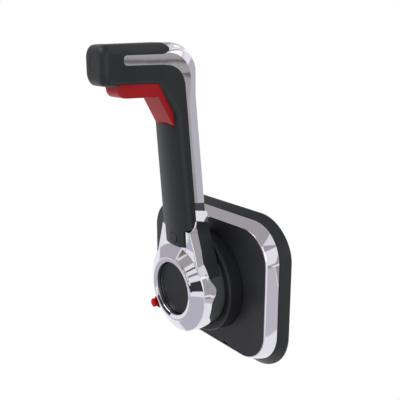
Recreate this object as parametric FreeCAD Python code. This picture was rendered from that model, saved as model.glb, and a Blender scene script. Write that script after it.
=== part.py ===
import FreeCAD, Part
import math
import os

# Side-mounted single-lever boat throttle and shift control, in millimetres.
# The wall is the plane Y = 0, the control stands out of it towards -Y, and +Z is up.
# A "depth" is a distance out from the wall, so Y = -depth. The pieces are drawn round the
# lever's pivot, then moved so that the origin is the middle of the wall screws.

# Base and cover
face_width = 150.0  # dark face inside the bright trim
face_height = 108.0
face_corner = 26.0
face_depth = 18.6
back_rise = 3.0  # how much higher and lower the base's outline is at the wall
hub_offset = 6.4  # the face's middle lies this far to -X of the pivot
flange_outset = 9.5  # how far the base's foot stands outside the face
flange_edge = 1.2
trim_depth = 7.4  # where the bright trim starts
trim_outset = 4.2
trim_lip = 1.0
trim_height = 18.8
base_wall = 2.8
deck_depth = 11.4
deck_thickness = 3.0
cover_thickness = 2.8
clearance = 0.3
deck_front = deck_depth + deck_thickness
cover_back = face_depth - cover_thickness

# Wall screws, under the cover
mount_spacing_x = face_width - 20.0
mount_spacing_z = face_height - 52.0
mount_hole_radius = 3.3
mount_post_radius = 7.2
mount_head_radius = 6.2
mount_seat_depth = 8.0

# Turret of the mechanism housing
turret_radius = 42.9
turret_depth = 32.1
turret_shoulder = 3.4
turret_wall = 3.0
turret_recess = 1.8
turret_hole = turret_radius + clearance + 0.2
housing_flange_radius = 52.0
housing_flange_thickness = 3.0
housing_screw_circle = 47.7
bearing_radius = 13.0
bearing_end = 40.0
bearing_start = 11.0
housing_screw_radius = 1.7
small_screw_radius = 1.2
plunger_depth = 24.5  # depth of the detent's and the friction pad's axes
plunger_radius = 3.05
housing_front = turret_depth - turret_recess
housing_back = deck_depth - housing_flange_thickness
housing_ceiling = housing_front - turret_wall
detent_end = 29.0  # how far the detent's and the friction pad's bosses reach from the shaft
friction_end = 31.0
pad_length = 16.0

# Shaft and bushes
shaft_radius = 8.0
shaft_bore = 4.1
bush_radius = 10.0
bush_length = 7.0
running_gap = 0.05
hex_radius = 11.0
hex_start = bearing_end + 2.4
collar_radius = 12.4
shaft_flat = 1.2
ring_groove = 0.65
shaft_end = 0.6
spring_pocket_radius = 6.6
spring_pocket_depth = 41.5
ball_radius = 3.0
ball_place = -(shaft_radius + ball_radius + 0.1)  # height of the detent ball

# Neutral lock
lock_ring_radius = 24.0
lock_ring_start = 32.0
lock_ring_thickness = 5.0
lock_notch_width = 8.6
lock_notch_depth = 5.0
lock_screw_circle = 17.0
rod_radius = 2.5
rod_offset = 37.0  # depth of the rod's line at the pivot's height
lever_lean = 0.0865  # how far the lever stands out for each millimetre up
trigger_travel = 5.0

# Gears and cable arms
gear_module = 1.5
drive_teeth = 16
follower_teeth = 24
gear_near = 2.4
gear_thickness = 2.6
gear_gap = 0.3
gear_backlash = 0.3
gear_sector = (-65.0, 78.0)  # toothed part of a follower, from the meshing side
follower_rise = 10.8
arm_reach = 22.0
arm_end_radius = 4.2
cable_hole_radius = 2.55
pin_radius = 3.0
cam_radius = 15.0
cam_thickness = 1.8
clutch_pin_radius = 0.9
clutch_pin_half = 9.2
gear_distance = gear_module * (drive_teeth + follower_teeth) / 2
follower_x = math.sqrt(gear_distance**2 - follower_rise**2)
shift_near = gear_near + gear_thickness + gear_gap
cam_near = shift_near + gear_thickness + gear_gap
throttle_side = (1, gear_near)  # the arm's side of the pivot, and the depth of its near face
shift_side = (-1, shift_near)

# Start-in-neutral switch
roller_x = 4.2
roller_radius = 1.2
roller_z = math.sqrt((cam_radius + roller_radius + 0.15) ** 2 - roller_x**2)
switch_depth = cam_near - 1.2
switch_thickness = 6.4
switch_half = 10.5
switch_bottom = cam_radius + 4.5
switch_screw_x = 7.5
switch_screw_z = switch_bottom + 7.5

# Cable brackets
bracket_x = -52.0
bracket_half = 6.0
bracket_foot = 6.4
bracket_plate = 2.0
cable_groove_radius = 3.4
rivet_radius = 1.6
rivet_spacing = 6.4

# Lever hub
drum_radius = 36.2
drum_back = 30.8
drum_wall = 2.6
cone_radius = 37.1
rim_radius = 28.0
button_radius = 21.8
skirt_flare = 1.2
lobe_height = 4.8
lobe_half_angle = 17.5
lobe_pitch = 50.0
lobe_count = 5
core_hub_radius = 26.0
core_hub_near = hex_start + 1.6
core_hub_floor = core_hub_near + 4.2  # floor of the core's recess under the button
core_hub_far = core_hub_near + 6.0
hex_end = core_hub_floor + 0.3
drum_front = core_hub_near + 2.0
skirt_back = drum_front + 0.2
button_depth = core_hub_floor + 6.8
rim_depth = button_depth + 3.4
cone_depth = rim_depth - 4.8
hub_screw_circle = 20.5
hub_screw_radius = 1.55

# Lever arm and grip
neck_top = 60.6
foot_cap_top = neck_top + 8.2
foot_spacer_top = foot_cap_top + 5.4
horn_top = neck_top - 9.0
horn_peak = neck_top - 1.8  # where the horn's slanting top ends, beside the arm's foot
horn_tip_depth = cone_depth + 1.0
horn_inside = 13.0
horn_outside = 18.4
arm_low = 30.0
arm_knee = 145.5
arm_half_low = 18.9
arm_half_knee = 17.1
arm_half_elbow = 16.6
arm_straight_top = arm_knee + 12.5  # the back leans up to here and is upright above
grip_half = 14.0
arm_front_low = 53.6  # depth of the arm's front face at arm_low
arm_crown = 2.2
arm_edge = 5.0
arm_back_low = 32.6  # depth of the arm's back face at arm_low
grip_bottom = 167.2
grip_top = 197.3
grip_fall = 1.5
grip_end = 122.5
grip_edge = 8.5
grip_low_edge = 4.6
grip_end_edge = 4.4
elbow_radius = 21.5
gusset_slope = 0.627
band_depth = 9.0
band_inset = 2.4
shell_wall = 2.6
split_low = 47.3  # depth of the line where dark shell and bright spine meet, at the foot
split_lean = 0.077
prong_end = grip_end - 16.7
prong_low = 181.6
prong_high = 188.5
tongue_end = 67.4
plug_radius = 5.0
plug_z = 182.8
arm_plug_radius = 4.5
arm_plug_z = 44.0
arm_back = arm_back_low - lever_lean * arm_low  # depths of the arm's back and front at the pivot
arm_front = arm_front_low - lever_lean * arm_low
elbow_depth = arm_back + lever_lean * arm_straight_top + elbow_radius
elbow_z = grip_top - elbow_radius
elbow_flare = arm_half_elbow - grip_half - 0.2
gusset_front = arm_front + lever_lean * arm_knee

# Trigger
trigger_half = 12.2
trigger_end = grip_end - 14.3
trigger_low = 158.6
trigger_stand = 0.45  # how far its foot stands out of the arm
trigger_slope = 0.573
trigger_foot = 136.0
trigger_gap = 0.45
trigger_leg_half = 4.2
leg_low = trigger_foot + 5.2
leg_high = trigger_foot + 13.4

# Cast core
core_back = rod_offset + 3.4
core_front = core_back + 6.0
core_half = 11.0
core_low = 26.0
grip_bar_low = grip_bottom + 11.0
grip_bar_top = grip_top - 7.9
grip_bar_end = grip_end - 10.5
spine_screw_heights = (88.0, 122.0)
spine_screw_x = 7.4
spine_screw_radius = 1.25
lug_back = rod_offset - rod_radius - 0.6
spring_low = trigger_foot - 28.0
spring_high = trigger_foot - 4.0
guide_lugs = ((58.0, 62.0), (spring_high, trigger_foot))
set_screw_radius = 1.5
set_screw_depth = (core_hub_near + core_hub_floor) / 2

# Stop button
stop_x = 16.4 - face_width / 2 - hub_offset
stop_z = 12.0 - face_height / 2
stop_barrel_radius = 5.0
stop_bezel_radius = 6.6
stop_cap_radius = 4.1
stop_neck_radius = 2.6
stop_bezel_height = 11.8
stop_cap_top = 36.0
stop_travel = 3.0
stop_back = 4.0
stop_bore = stop_neck_radius + 0.1
stop_nut_radius = stop_barrel_radius + 1.6


def vec(x, depth, z):
    return FreeCAD.Vector(x, -depth, z)


def disc(radius, near, far, x=0.0, z=0.0):
    """A round bar along the wall's normal, between two depths."""
    return Part.makeCylinder(radius, far - near, vec(x, far, z), FreeCAD.Vector(0, 1, 0))


def tube(outer, inner, near, far, x=0.0, z=0.0):
    return disc(outer, near, far, x, z).cut(disc(inner, near, far, x, z))


def turned(points):
    """A body turned about the pivot, from (radius, depth) points."""
    corners = [FreeCAD.Vector(r, -d, 0) for r, d in points]
    face = Part.Face(Part.makePolygon(corners + corners[:1]))
    return face.revolve(FreeCAD.Vector(0, 0, 0), FreeCAD.Vector(0, 1, 0), 360)


def block(x0, x1, near, far, z0, z1):
    return Part.makeBox(x1 - x0, far - near, z1 - z0, vec(x0, far, z0))


def across(points, half):
    """A bar across the lever, symmetric in X, from (depth, z) points."""
    corners = [vec(-half, d, z) for d, z in points]
    face = Part.Face(Part.makePolygon(corners + corners[:1]))
    return face.extrude(FreeCAD.Vector(2 * half, 0, 0))


def outward(points, near, far):
    """A bar along the wall's normal, from (x, z) points."""
    corners = [vec(x, near, z) for x, z in points]
    face = Part.Face(Part.makePolygon(corners + corners[:1]))
    return face.extrude(vec(0, far - near, 0))


def joined(shapes):
    result = shapes[0].fuse(shapes[1:]) if len(shapes) > 1 else shapes[0]
    return result.removeSplitter()


def face_outline(outset, depth):
    """The rounded outline of the face, let out by outset, as a wire at a depth."""
    half_x = face_width / 2 + outset
    half_z = face_height / 2 + outset + back_rise * (1 - depth / face_depth)
    r = face_corner + outset
    cut = r * (1 - math.sqrt(0.5))
    edges = []
    for sx, sz in ((1, 1), (-1, 1), (-1, -1), (1, -1)):
        corner = [(half_x, half_z - r), (half_x - cut, half_z - cut), (half_x - r, half_z)]
        if sx * sz < 0:
            corner.reverse()
        corner = [vec(sx * x - hub_offset, depth, sz * z) for x, z in corner]
        edges.append(Part.Arc(*corner).toShape())
    ends = [(e.firstVertex(True).Point, e.lastVertex(True).Point) for e in edges]
    sides = [Part.makeLine(ends[i][1], ends[(i + 1) % 4][0]) for i in range(4)]
    wire = [piece for pair in zip(edges, sides) for piece in pair]
    return Part.Wire(wire)


def face_loft(stations):
    """A solid through rounded outlines given as (outset, depth)."""
    return Part.makeLoft([face_outline(o, d) for o, d in stations], True, True)


def at_lever(depth_at_pivot, z):
    """Depth of a line that leans with the lever."""
    return depth_at_pivot + lever_lean * z


def leaning_bar(radius, z0, z1, offset=rod_offset, x=0.0):
    start = vec(x, at_lever(offset, z0), z0)
    end = vec(x, at_lever(offset, z1), z1)
    return Part.makeCylinder(radius, (end - start).Length, start, end - start)


def coil(mean_radius, wire_radius, start, end, turns):
    """A helical spring between two points, with a six-sided wire."""
    length = (end - start).Length - 2 * wire_radius
    path = Part.makeHelix(length / turns, length, mean_radius)
    wire = Part.makePolygon(
        [
            FreeCAD.Vector(
                mean_radius + wire_radius * math.cos(math.radians(a)),
                0,
                wire_radius * math.sin(math.radians(a)),
            )
            for a in range(0, 361, 60)
        ]
    )
    spring = Part.Wire(path).makePipeShell([wire], True, True)
    spring.translate(FreeCAD.Vector(0, 0, wire_radius))
    turn = FreeCAD.Rotation(FreeCAD.Vector(0, 0, 1), end - start)
    spring.Placement = FreeCAD.Placement(start, turn).multiply(spring.Placement)
    return spring


# Base


def mount_places():
    return [
        (sx * mount_spacing_x / 2 - hub_offset, sz * mount_spacing_z / 2)
        for sx in (-1, 1)
        for sz in (-1, 1)
    ]


def hook_places():
    """Clip hooks of the cover, along its top and bottom edges."""
    edge = face_height / 2 - 5.5
    return [(x - hub_offset, side * edge) for x in (-40.0, 40.0) for side in (-1, 1)]


def housing_screw_places():
    angles = (45, 135, 225, 315)
    c = housing_screw_circle
    return [(c * math.cos(math.radians(a)), c * math.sin(math.radians(a))) for a in angles]


def base_housing():
    foot = face_loft(
        [(flange_outset, 0), (flange_outset, flange_edge), (trim_outset + 0.2, trim_depth)]
    )
    upstand = face_loft([(trim_outset - 2.2, trim_depth), (-0.8, deck_front)])
    body = foot.fuse(upstand)
    body = body.cut(face_loft([(flange_outset - 4.0, 0), (-0.8 - base_wall, deck_depth)]))
    for x, z in mount_places():
        body = body.fuse(disc(mount_post_radius, 0, deck_front, x, z))
    limits = [(flange_outset, 0), (flange_outset, flange_edge), (-0.8, deck_front)]
    body = body.common(face_loft(limits))
    for x, z in mount_places():
        body = body.cut(disc(mount_hole_radius, 0, deck_front, x, z))
        body = body.cut(disc(mount_head_radius, mount_seat_depth, deck_front, x, z))
    body = body.cut(disc(turret_hole, 0, deck_front))
    for x, z in housing_screw_places():
        body = body.cut(disc(2.2, deck_depth, deck_front, x, z))
        body = body.cut(disc(4.0, deck_front - 1.2, deck_front, x, z))
    for x, z in hook_places():
        body = body.cut(block(x - 4.5, x + 4.5, deck_depth, deck_front, z - 2.2, z + 2.2))
    body = body.cut(disc(stop_nut_radius + 0.4, deck_depth, deck_front, stop_x, stop_z))
    return body.removeSplitter()


def chrome_trim():
    outer = face_loft(
        [
            (trim_outset, trim_depth + 0.1),
            (trim_lip + 0.5, trim_height - 1.0),
            (trim_lip, trim_height),
        ]
    )
    inner = face_loft([(trim_outset - 1.9, trim_depth + 0.1), (-0.6, cover_back - 1.2)])
    seat = face_loft([(-2.2, cover_back - 1.2), (-2.2, cover_back)])
    mouth = face_loft([(0.15, cover_back), (0.15, trim_height)])
    trim = outer.cut(inner).cut(seat).cut(mouth)
    return trim.removeSplitter()


def cover_plate():
    plate = face_loft([(0, cover_back), (0, face_depth - 0.5), (-0.5, face_depth)])
    plate = plate.cut(disc(turret_hole, cover_back, face_depth))
    plate = plate.cut(disc(stop_barrel_radius + clearance, cover_back, face_depth, stop_x, stop_z))
    notch_z = -face_height / 2
    plate = plate.cut(block(19.0, 24.5, cover_back, face_depth, notch_z - 1, notch_z + 1.8))
    hooks = []
    for x, z in hook_places():
        side = 1 if z > 0 else -1
        stem = block(x - 3.5, x + 3.5, deck_depth - 1.6, cover_back, z - 0.8, z + 0.8)
        barb = block(x - 3.5, x + 3.5, deck_depth - 1.6, deck_depth - 0.3, z - 0.8, z + 2.0)
        if side < 0:
            barb = block(x - 3.5, x + 3.5, deck_depth - 1.6, deck_depth - 0.3, z - 2.0, z + 0.8)
        hooks += [stem, barb]
    return joined([plate] + hooks)


# Mechanism housing and what it carries


def follower_place(side):
    return side * follower_x, side * follower_rise


def lock_screw_places():
    """Screws of the lock ring, clear of the notch, the detent and the friction screw."""
    c = lock_screw_circle
    angles = [math.radians(a) for a in (58, 178, 298)]
    return [(c * math.cos(a), c * math.sin(a)) for a in angles]


def housing_profile():
    """Half section of the housing: turret, recess, bearing tube, inside and flange."""
    arc = turret_radius - turret_shoulder - 0.3
    recess = drum_radius + 1.3
    ring_seat = bearing_radius + 7.0
    profile = [(turret_radius, deck_depth), (turret_radius - 0.3, turret_depth - turret_shoulder)]
    for step in range(1, 6):
        a = math.radians(18.0 * step)
        height = turret_depth - turret_shoulder * (1 - math.sin(a))
        profile.append((arc + turret_shoulder * math.cos(a), height))
    return profile + [
        (recess, turret_depth),
        (recess, housing_front),
        (ring_seat, housing_front),
        (ring_seat, lock_ring_start),
        (bearing_radius, lock_ring_start),
        (bearing_radius, bearing_end),
        (bush_radius, bearing_end),
        (bush_radius, bearing_start),
        (bearing_radius, bearing_start),
        (bearing_radius, housing_ceiling),
        (turret_radius - turret_wall, housing_ceiling),
        (turret_radius - turret_wall, housing_back),
        (housing_flange_radius, housing_back),
        (housing_flange_radius, deck_depth),
    ]


def plunger_bosses():
    """Bosses for the detent, below the shaft, and for the friction pad, beside it."""
    low = plunger_depth - 5.0
    detent = block(-5, 5, low, housing_ceiling, -detent_end, -bearing_radius + 2)
    friction = block(bearing_radius - 2, friction_end, low, housing_ceiling, -5, 5)
    return [detent, friction]


def mechanism_housing():
    body = turned(housing_profile())
    inside = disc(turret_radius - 1, 0, housing_ceiling)
    additions = plunger_bosses()
    for side, near in (throttle_side, shift_side):
        x, z = follower_place(side)
        start = near + gear_thickness + gear_gap
        additions.append(disc(5.5, start, housing_ceiling, x, z))
        far_x = side * (turret_radius + 7.0)
        rib = [(far_x, z + 1.6), (x, z + 1.6), (x, z - 1.6), (far_x, z - 1.6)]
        additions.append(outward(rib, 14, housing_ceiling - 0.3).common(inside))
    post_near = switch_depth + switch_thickness
    post = block(-11, 11, post_near, housing_ceiling, switch_bottom - 1, switch_bottom + 10.5)
    body = joined([body, post] + additions)
    flats = face_height / 2 - 0.8 - base_wall - clearance
    body = body.common(block(-60, 60, 0, 60, -flats, flats))
    for side, near in (throttle_side, shift_side):
        x, z = follower_place(side)
        body = body.cut(disc(pin_radius, near, 20.0, x, z))
    for side in (-1, 1):
        hole = disc(small_screw_radius + 0.05, 13.0, 20.0, side * switch_screw_x, switch_screw_z)
        body = body.cut(hole)
    bore = plunger_radius + 0.05
    body = body.cut(Part.makeCylinder(bore, detent_end, vec(0, plunger_depth, -detent_end)))
    across_x = FreeCAD.Vector(1, 0, 0)
    body = body.cut(Part.makeCylinder(bore, friction_end, vec(0, plunger_depth, 0), across_x))
    for x, z in housing_screw_places():
        body = body.cut(disc(housing_screw_radius + 0.05, housing_back, deck_depth, x, z))
    for x, z in lock_screw_places():
        body = body.cut(disc(small_screw_radius + 0.05, housing_ceiling, lock_ring_start, x, z))
    return body.removeSplitter()


def shaft_bush(near):
    return tube(bush_radius - 0.02, shaft_radius + running_gap, near, near + bush_length)


def thrust_washer():
    return tube(collar_radius, shaft_radius + 0.2, bearing_end + 0.3, hex_start - 0.7)


def neutral_lock_ring():
    far = lock_ring_start + lock_ring_thickness
    ring = tube(lock_ring_radius, bearing_radius + 0.1, lock_ring_start, far)
    half = lock_notch_width / 2
    bottom = lock_ring_radius - lock_notch_depth
    ring = ring.cut(block(-half, half, lock_ring_start, far, bottom, lock_ring_radius + 1))
    for x, z in lock_screw_places():
        ring = ring.cut(disc(small_screw_radius + 0.4, lock_ring_start, far, x, z))
        ring = ring.cut(disc(2.9, far - 1.6, far, x, z))
    return ring


def lock_ring_screws():
    screws = []
    far = lock_ring_start + lock_ring_thickness
    for x, z in lock_screw_places():
        shank = disc(small_screw_radius, housing_ceiling + 0.2, far - 1.6, x, z)
        head = disc(2.75, far - 1.6, far - 0.1, x, z)
        screws.append(socket_cut(shank.fuse(head), 1.2, far - 0.9, far, x, z))
    return Part.makeCompound(screws)


def socket_cut(screw, size, near, far, x, z):
    """Cuts a hexagon socket into a screw's head."""
    points = [
        (x + size * math.cos(math.radians(a)), z + size * math.sin(math.radians(a)))
        for a in range(0, 360, 60)
    ]
    return screw.cut(outward(points, near, far + 0.5)).removeSplitter()


def housing_screws():
    screws = []
    for x, z in housing_screw_places():
        shank = disc(housing_screw_radius, housing_back, deck_front - 1.2, x, z)
        head = disc(3.5, deck_front - 1.2, deck_front + 1.0, x, z)
        screws.append(socket_cut(shank.fuse(head), 1.6, deck_front, deck_front + 1.0, x, z))
    return Part.makeCompound(screws)


def arm_pins():
    pins = []
    for side, near in (throttle_side, shift_side):
        x, z = follower_place(side)
        pin = disc(pin_radius - 0.02, near - 1.8, 19.5, x, z)
        groove = tube(pin_radius + 1, pin_radius - ring_groove, near - 1.05, near - 0.25, x, z)
        pins.append(pin.cut(groove))
    return Part.makeCompound(pins)


def circlip(inner, outer, near, far, x=0.0, z=0.0):
    """A snap ring with its gap and two lugs at the top."""
    ring = tube(outer, inner, near, far, x, z)
    ring = ring.cut(block(x - 0.9, x + 0.9, near, far, z, z + outer + 1))
    for side in (-1, 1):
        ring = ring.fuse(disc(1.0, near, far, x + side * 1.9, z + outer - 0.4))
        ring = ring.cut(block(x - 0.9, x + 0.9, near, far, z, z + outer + 1))
    ring = ring.cut(disc(inner, near, far, x, z))
    return ring.removeSplitter()


def pin_circlips():
    rings = []
    for side, near in (throttle_side, shift_side):
        x, z = follower_place(side)
        inner = pin_radius - ring_groove + 0.05
        rings.append(circlip(inner, pin_radius + 1.6, near - 1.0, near - 0.3, x, z))
    return Part.makeCompound(rings)


def detent_ball():
    return Part.makeSphere(ball_radius, vec(0, plunger_depth, ball_place))


def detent_spring():
    start = vec(0, plunger_depth, -detent_end + 6.5)
    return coil(2.1, 0.4, start, vec(0, plunger_depth, ball_place - ball_radius), 5)


def detent_screw():
    screw = Part.makeCylinder(plunger_radius, 6.4, vec(0, plunger_depth, -detent_end))
    slot = block(-4, 4, plunger_depth - 0.4, plunger_depth + 0.4, -detent_end, -detent_end + 1.2)
    return screw.cut(slot)


def friction_pad():
    start = vec(0, plunger_depth, 0)
    pad = Part.makeCylinder(plunger_radius, pad_length, start, FreeCAD.Vector(1, 0, 0))
    return pad.cut(disc(shaft_radius + 0.1, 20, 30))


def friction_screw():
    start = vec(pad_length + 0.1, plunger_depth, 0)
    length = friction_end - pad_length - 0.1
    screw = Part.makeCylinder(plunger_radius, length, start, FreeCAD.Vector(1, 0, 0))
    slot = block(friction_end - 1.2, friction_end, plunger_depth - 0.4, plunger_depth + 0.4, -4, 4)
    return screw.cut(slot)


def neutral_switch():
    near = switch_depth
    top = switch_bottom + 10.0
    body = block(-switch_half, switch_half, near, near + switch_thickness, switch_bottom, top)
    for x in (-switch_screw_x, switch_screw_x):
        body = body.cut(disc(small_screw_radius, near, near + switch_thickness, x, switch_screw_z))
    terminals = []
    for x in (-7.0, 0.0, 7.0):
        terminals.append(block(x - 1.4, x + 1.4, near + 2.9, near + 3.5, top, top + 5))
    low = cam_near + 0.1
    far = cam_near + cam_thickness - 0.1
    plunger = block(-1.5, 1.5, low, far, switch_bottom - 1.9, switch_bottom)
    blade = outward(
        [
            (-9.5, switch_bottom - 0.9),
            (roller_x, roller_z + 1.0),
            (roller_x, roller_z + 1.4),
            (-9.5, switch_bottom),
        ],
        low,
        far,
    )
    roller = disc(roller_radius, low, far, roller_x, roller_z)
    return joined([body, plunger, blade, roller] + terminals)


def switch_screws():
    screws = []
    for x in (-switch_screw_x, switch_screw_x):
        shank = disc(small_screw_radius - 0.05, switch_depth, 18.0, x, switch_screw_z)
        top = switch_depth - 1.2
        head = disc(2.2, top, switch_depth, x, switch_screw_z)
        z = switch_screw_z
        slot = block(x - 2.3, x + 2.3, top, top + 0.6, z - 0.25, z + 0.25)
        screws.append(shank.fuse(head).cut(slot))
    return Part.makeCompound(screws)


def cable_heights():
    """Height of each cable over the pivot, with the depth of its arm's middle."""
    for side, near in (throttle_side, shift_side):
        yield side * (follower_rise + arm_reach), near + gear_thickness / 2


def rivet_places():
    x = bracket_x - bracket_plate - bracket_foot / 2
    return [(x, z + s * rivet_spacing / 2) for z, depth in cable_heights() for s in (-1, 1)]


def cable_brackets():
    """Folded brackets with a seat for each cable's groove."""
    brackets = []
    for z, depth in cable_heights():
        low = z - bracket_half
        high = z + bracket_half
        plate = block(bracket_x - bracket_plate, bracket_x, 1.0, deck_depth, low, high)
        end = bracket_x - bracket_plate - bracket_foot
        foot = block(end, bracket_x, deck_depth - 2, deck_depth, low, high)
        r = cable_groove_radius
        seat = Part.makeCylinder(r, 4, vec(bracket_x - 3, depth, z), FreeCAD.Vector(1, 0, 0))
        mouth = block(bracket_x - 3, bracket_x + 1, 0, depth, z - r, z + r)
        bracket = plate.fuse(foot).cut(seat).cut(mouth)
        for x, rivet_z in rivet_places():
            bracket = bracket.cut(disc(rivet_radius + 0.05, deck_depth - 2, deck_depth, x, rivet_z))
        brackets.append(bracket.removeSplitter())
    return Part.makeCompound(brackets)


def bracket_rivets():
    rivets = []
    for x, z in rivet_places():
        shank = disc(rivet_radius, deck_depth - 2, deck_depth, x, z)
        head = disc(2.6, deck_depth - 3.0, deck_depth - 2, x, z)
        rivets.append(shank.fuse(head).removeSplitter())
    return Part.makeCompound(rivets)


def stop_switch_body():
    front = face_depth + stop_bezel_height
    bezel = turned(
        [
            (stop_bore, face_depth),
            (stop_bezel_radius, face_depth),
            (stop_bezel_radius - 0.2, front - 2.0),
            (stop_bezel_radius - 0.6, front - 0.6),
            (stop_bezel_radius - 1.3, front),
            (stop_cap_radius + clearance, front),
            (stop_cap_radius + clearance, front - stop_travel),
            (stop_bore, front - stop_travel),
        ]
    )
    barrel = tube(stop_barrel_radius, stop_bore, stop_back, face_depth)
    body = joined([bezel, barrel, disc(stop_barrel_radius, stop_back - 1.0, stop_back)])
    body.translate(FreeCAD.Vector(stop_x, 0, stop_z))
    return body


def stop_switch_nut():
    """Ring nut with two spanner slots, behind the cover."""
    near = cover_back - 2.7
    far = cover_back - 0.1
    nut = tube(stop_nut_radius, stop_barrel_radius + 0.05, near, far, stop_x, stop_z)
    slot = block(stop_x - 10, stop_x + 10, near, near + 1.2, stop_z - 0.8, stop_z + 0.8)
    return nut.cut(slot)


def stop_button():
    top = stop_cap_top
    base = face_depth - 2.0
    cap = turned(
        [
            (0, base),
            (stop_neck_radius, base),
            (stop_neck_radius, top - 5.2),
            (stop_cap_radius - 0.6, top - 3.6),
            (stop_cap_radius, top - 2.8),
            (stop_cap_radius, top - 1.0),
            (stop_cap_radius - 0.4, top - 0.4),
            (stop_cap_radius - 1.4, top),
            (0, top + 0.2),
        ]
    )
    cap.translate(FreeCAD.Vector(stop_x, 0, stop_z))
    return cap


def stop_spring():
    start = vec(stop_x, stop_back + 0.1, stop_z)
    return coil(1.9, 0.35, start, vec(stop_x, face_depth - 2.1, stop_z), 6)


# Gears


def gear_outline(teeth, phase, x, z):
    """Involute tooth outline with thinned flanks, as points round the gear."""
    pitch = gear_module * teeth / 2
    base = pitch * math.cos(math.radians(20))
    tip = pitch + gear_module * 0.95
    root = pitch - gear_module * 1.25
    half = math.pi / (2 * teeth) - gear_backlash / (2 * pitch)
    involute_at_pitch = math.tan(math.radians(20)) - math.radians(20)
    flank = []
    for step in range(4):
        r = max(base, root) + (tip - max(base, root)) * step / 3
        turn = math.acos(min(1.0, base / r))
        flank.append((r, half + involute_at_pitch - (math.tan(turn) - turn)))
    points = []
    for tooth in range(teeth):
        middle = 2 * math.pi * tooth / teeth + phase
        points.append((root, middle - flank[0][1] - 0.01))
        points += [(r, middle - a) for r, a in flank]
        points += [(r, middle + a) for r, a in reversed(flank)]
        points.append((root, middle + flank[0][1] + 0.01))
    return [(x + r * math.cos(a), z + r * math.sin(a)) for r, a in points]


def mesh_phase(side):
    """Turn of a follower that puts a tooth gap opposite the driver's tooth."""
    towards = math.atan2(side * follower_rise, side * follower_x)
    pitch_angle = 2 * math.pi / drive_teeth
    slip = towards - round(towards / pitch_angle) * pitch_angle
    return towards + math.pi + slip * drive_teeth / follower_teeth + math.pi / follower_teeth


def keyed_bore(near, far):
    bore = disc(shaft_radius + 0.02, near, far)
    return bore.cut(block(-20, 20, near, far, shaft_radius - shaft_flat + 0.02, 20))


def pinion(near, bore):
    """A drive gear on the shaft, slotted for the clutch pin."""
    far = near + gear_thickness
    gear = outward(gear_outline(drive_teeth, 0, 0, 0), near, far)
    reach = clutch_pin_half + 0.3
    half = clutch_pin_radius + 0.1
    return gear.cut(bore).cut(block(-reach, reach, near, far, -half, half))


def throttle_pinion():
    return pinion(gear_near, keyed_bore(gear_near, gear_near + gear_thickness))


def shift_pinion():
    """Turns freely on the shaft unless the clutch pin holds it."""
    bore = disc(shaft_radius + running_gap, shift_near, shift_near + gear_thickness)
    return pinion(shift_near, bore)


def clutch_pin():
    depth = shift_near + gear_thickness / 2
    start = vec(-clutch_pin_half, depth, 0)
    return Part.makeCylinder(
        clutch_pin_radius, 2 * clutch_pin_half, start, FreeCAD.Vector(1, 0, 0)
    )


def neutral_cam():
    far = cam_near + cam_thickness
    cam = disc(cam_radius, cam_near, far)
    notch = disc(roller_radius + 1.2, cam_near, far, roller_x, roller_z)
    return cam.cut(notch).cut(keyed_bore(cam_near, far))


def follower(side, near):
    """A toothed sector with its cable arm, on its pin."""
    x, z = follower_place(side)
    far = near + gear_thickness
    wheel = outward(gear_outline(follower_teeth, mesh_phase(side), x, z), near, far)
    meshing = math.degrees(math.atan2(-z, -x))
    low, high = gear_sector
    sector = [(x, z)]
    for step in range(6):
        a = math.radians(meshing + low + (high - low) * step / 5)
        sector.append((x + 30 * math.cos(a), z + 30 * math.sin(a)))
    hub = disc(pin_radius + 5.0, near, far, x, z)
    wheel = wheel.common(outward(sector, near, far))
    end = z + side * arm_reach
    bar = outward([(x - 6.5, z), (x + 6.5, z), (x + 3.6, end), (x - 3.6, end)], near, far)
    body = joined([wheel, bar, hub, disc(arm_end_radius, near, far, x, end)])
    body = body.cut(disc(pin_radius + 0.03, near, far, x, z))
    return body.cut(disc(cable_hole_radius, near, far, x, end)).removeSplitter()


# Lever hub


def hexagon(radius, near, far):
    corners = [math.radians(a) for a in range(0, 360, 60)]
    return outward([(radius * math.cos(a), radius * math.sin(a)) for a in corners], near, far)


def main_shaft():
    shaft = disc(shaft_radius, shaft_end, hex_end)
    flat_end = cam_near + cam_thickness
    shaft = shaft.cut(block(-9, 9, 0, flat_end, shaft_radius - shaft_flat, 9))
    shaft = shaft.cut(Part.makeSphere(ball_radius + 0.1, vec(0, plunger_depth, ball_place + 0.8)))
    collar = disc(collar_radius, hex_start - 0.4, core_hub_near - 0.2)
    shaft = joined([shaft, collar, hexagon(hex_radius, hex_start, hex_end)])
    shaft = shaft.cut(disc(shaft_bore, 0, hex_end))
    shaft = shaft.cut(disc(spring_pocket_radius, spring_pocket_depth, hex_end))
    half = clutch_pin_radius + 0.1
    slot = block(-shaft_radius - 1, shaft_radius + 1, gear_near, cam_near, -half, half)
    groove = tube(shaft_radius + 1, shaft_radius - ring_groove, shaft_end + 0.6, shaft_end + 1.5)
    return shaft.cut(slot).cut(groove)


def shaft_circlip():
    inner = shaft_radius - ring_groove + 0.05
    return circlip(inner, shaft_radius + 2.2, shaft_end + 0.65, shaft_end + 1.45)


def wave(angle):
    """Height of the hub's scalloped skirt at an angle, from 0 to lobe_height."""
    for k in range(lobe_count):
        centre = -90.0 + lobe_pitch * (k - (lobe_count - 1) / 2)
        off = (angle - centre + 180.0) % 360.0 - 180.0
        if abs(off) < lobe_half_angle:
            return lobe_height * math.cos(math.radians(90.0 * off / lobe_half_angle)) ** 2
    return 0.0


def wavy_ring(radius):
    points = []
    for step in range(72):
        a = 5.0 * step
        points.append(
            vec(
                radius * math.cos(math.radians(a)),
                skirt_back - wave(a),
                radius * math.sin(math.radians(a)),
            )
        )
    curve = Part.BSplineCurve()
    curve.interpolate(points, PeriodicFlag=True)
    return curve.toShape()


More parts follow.
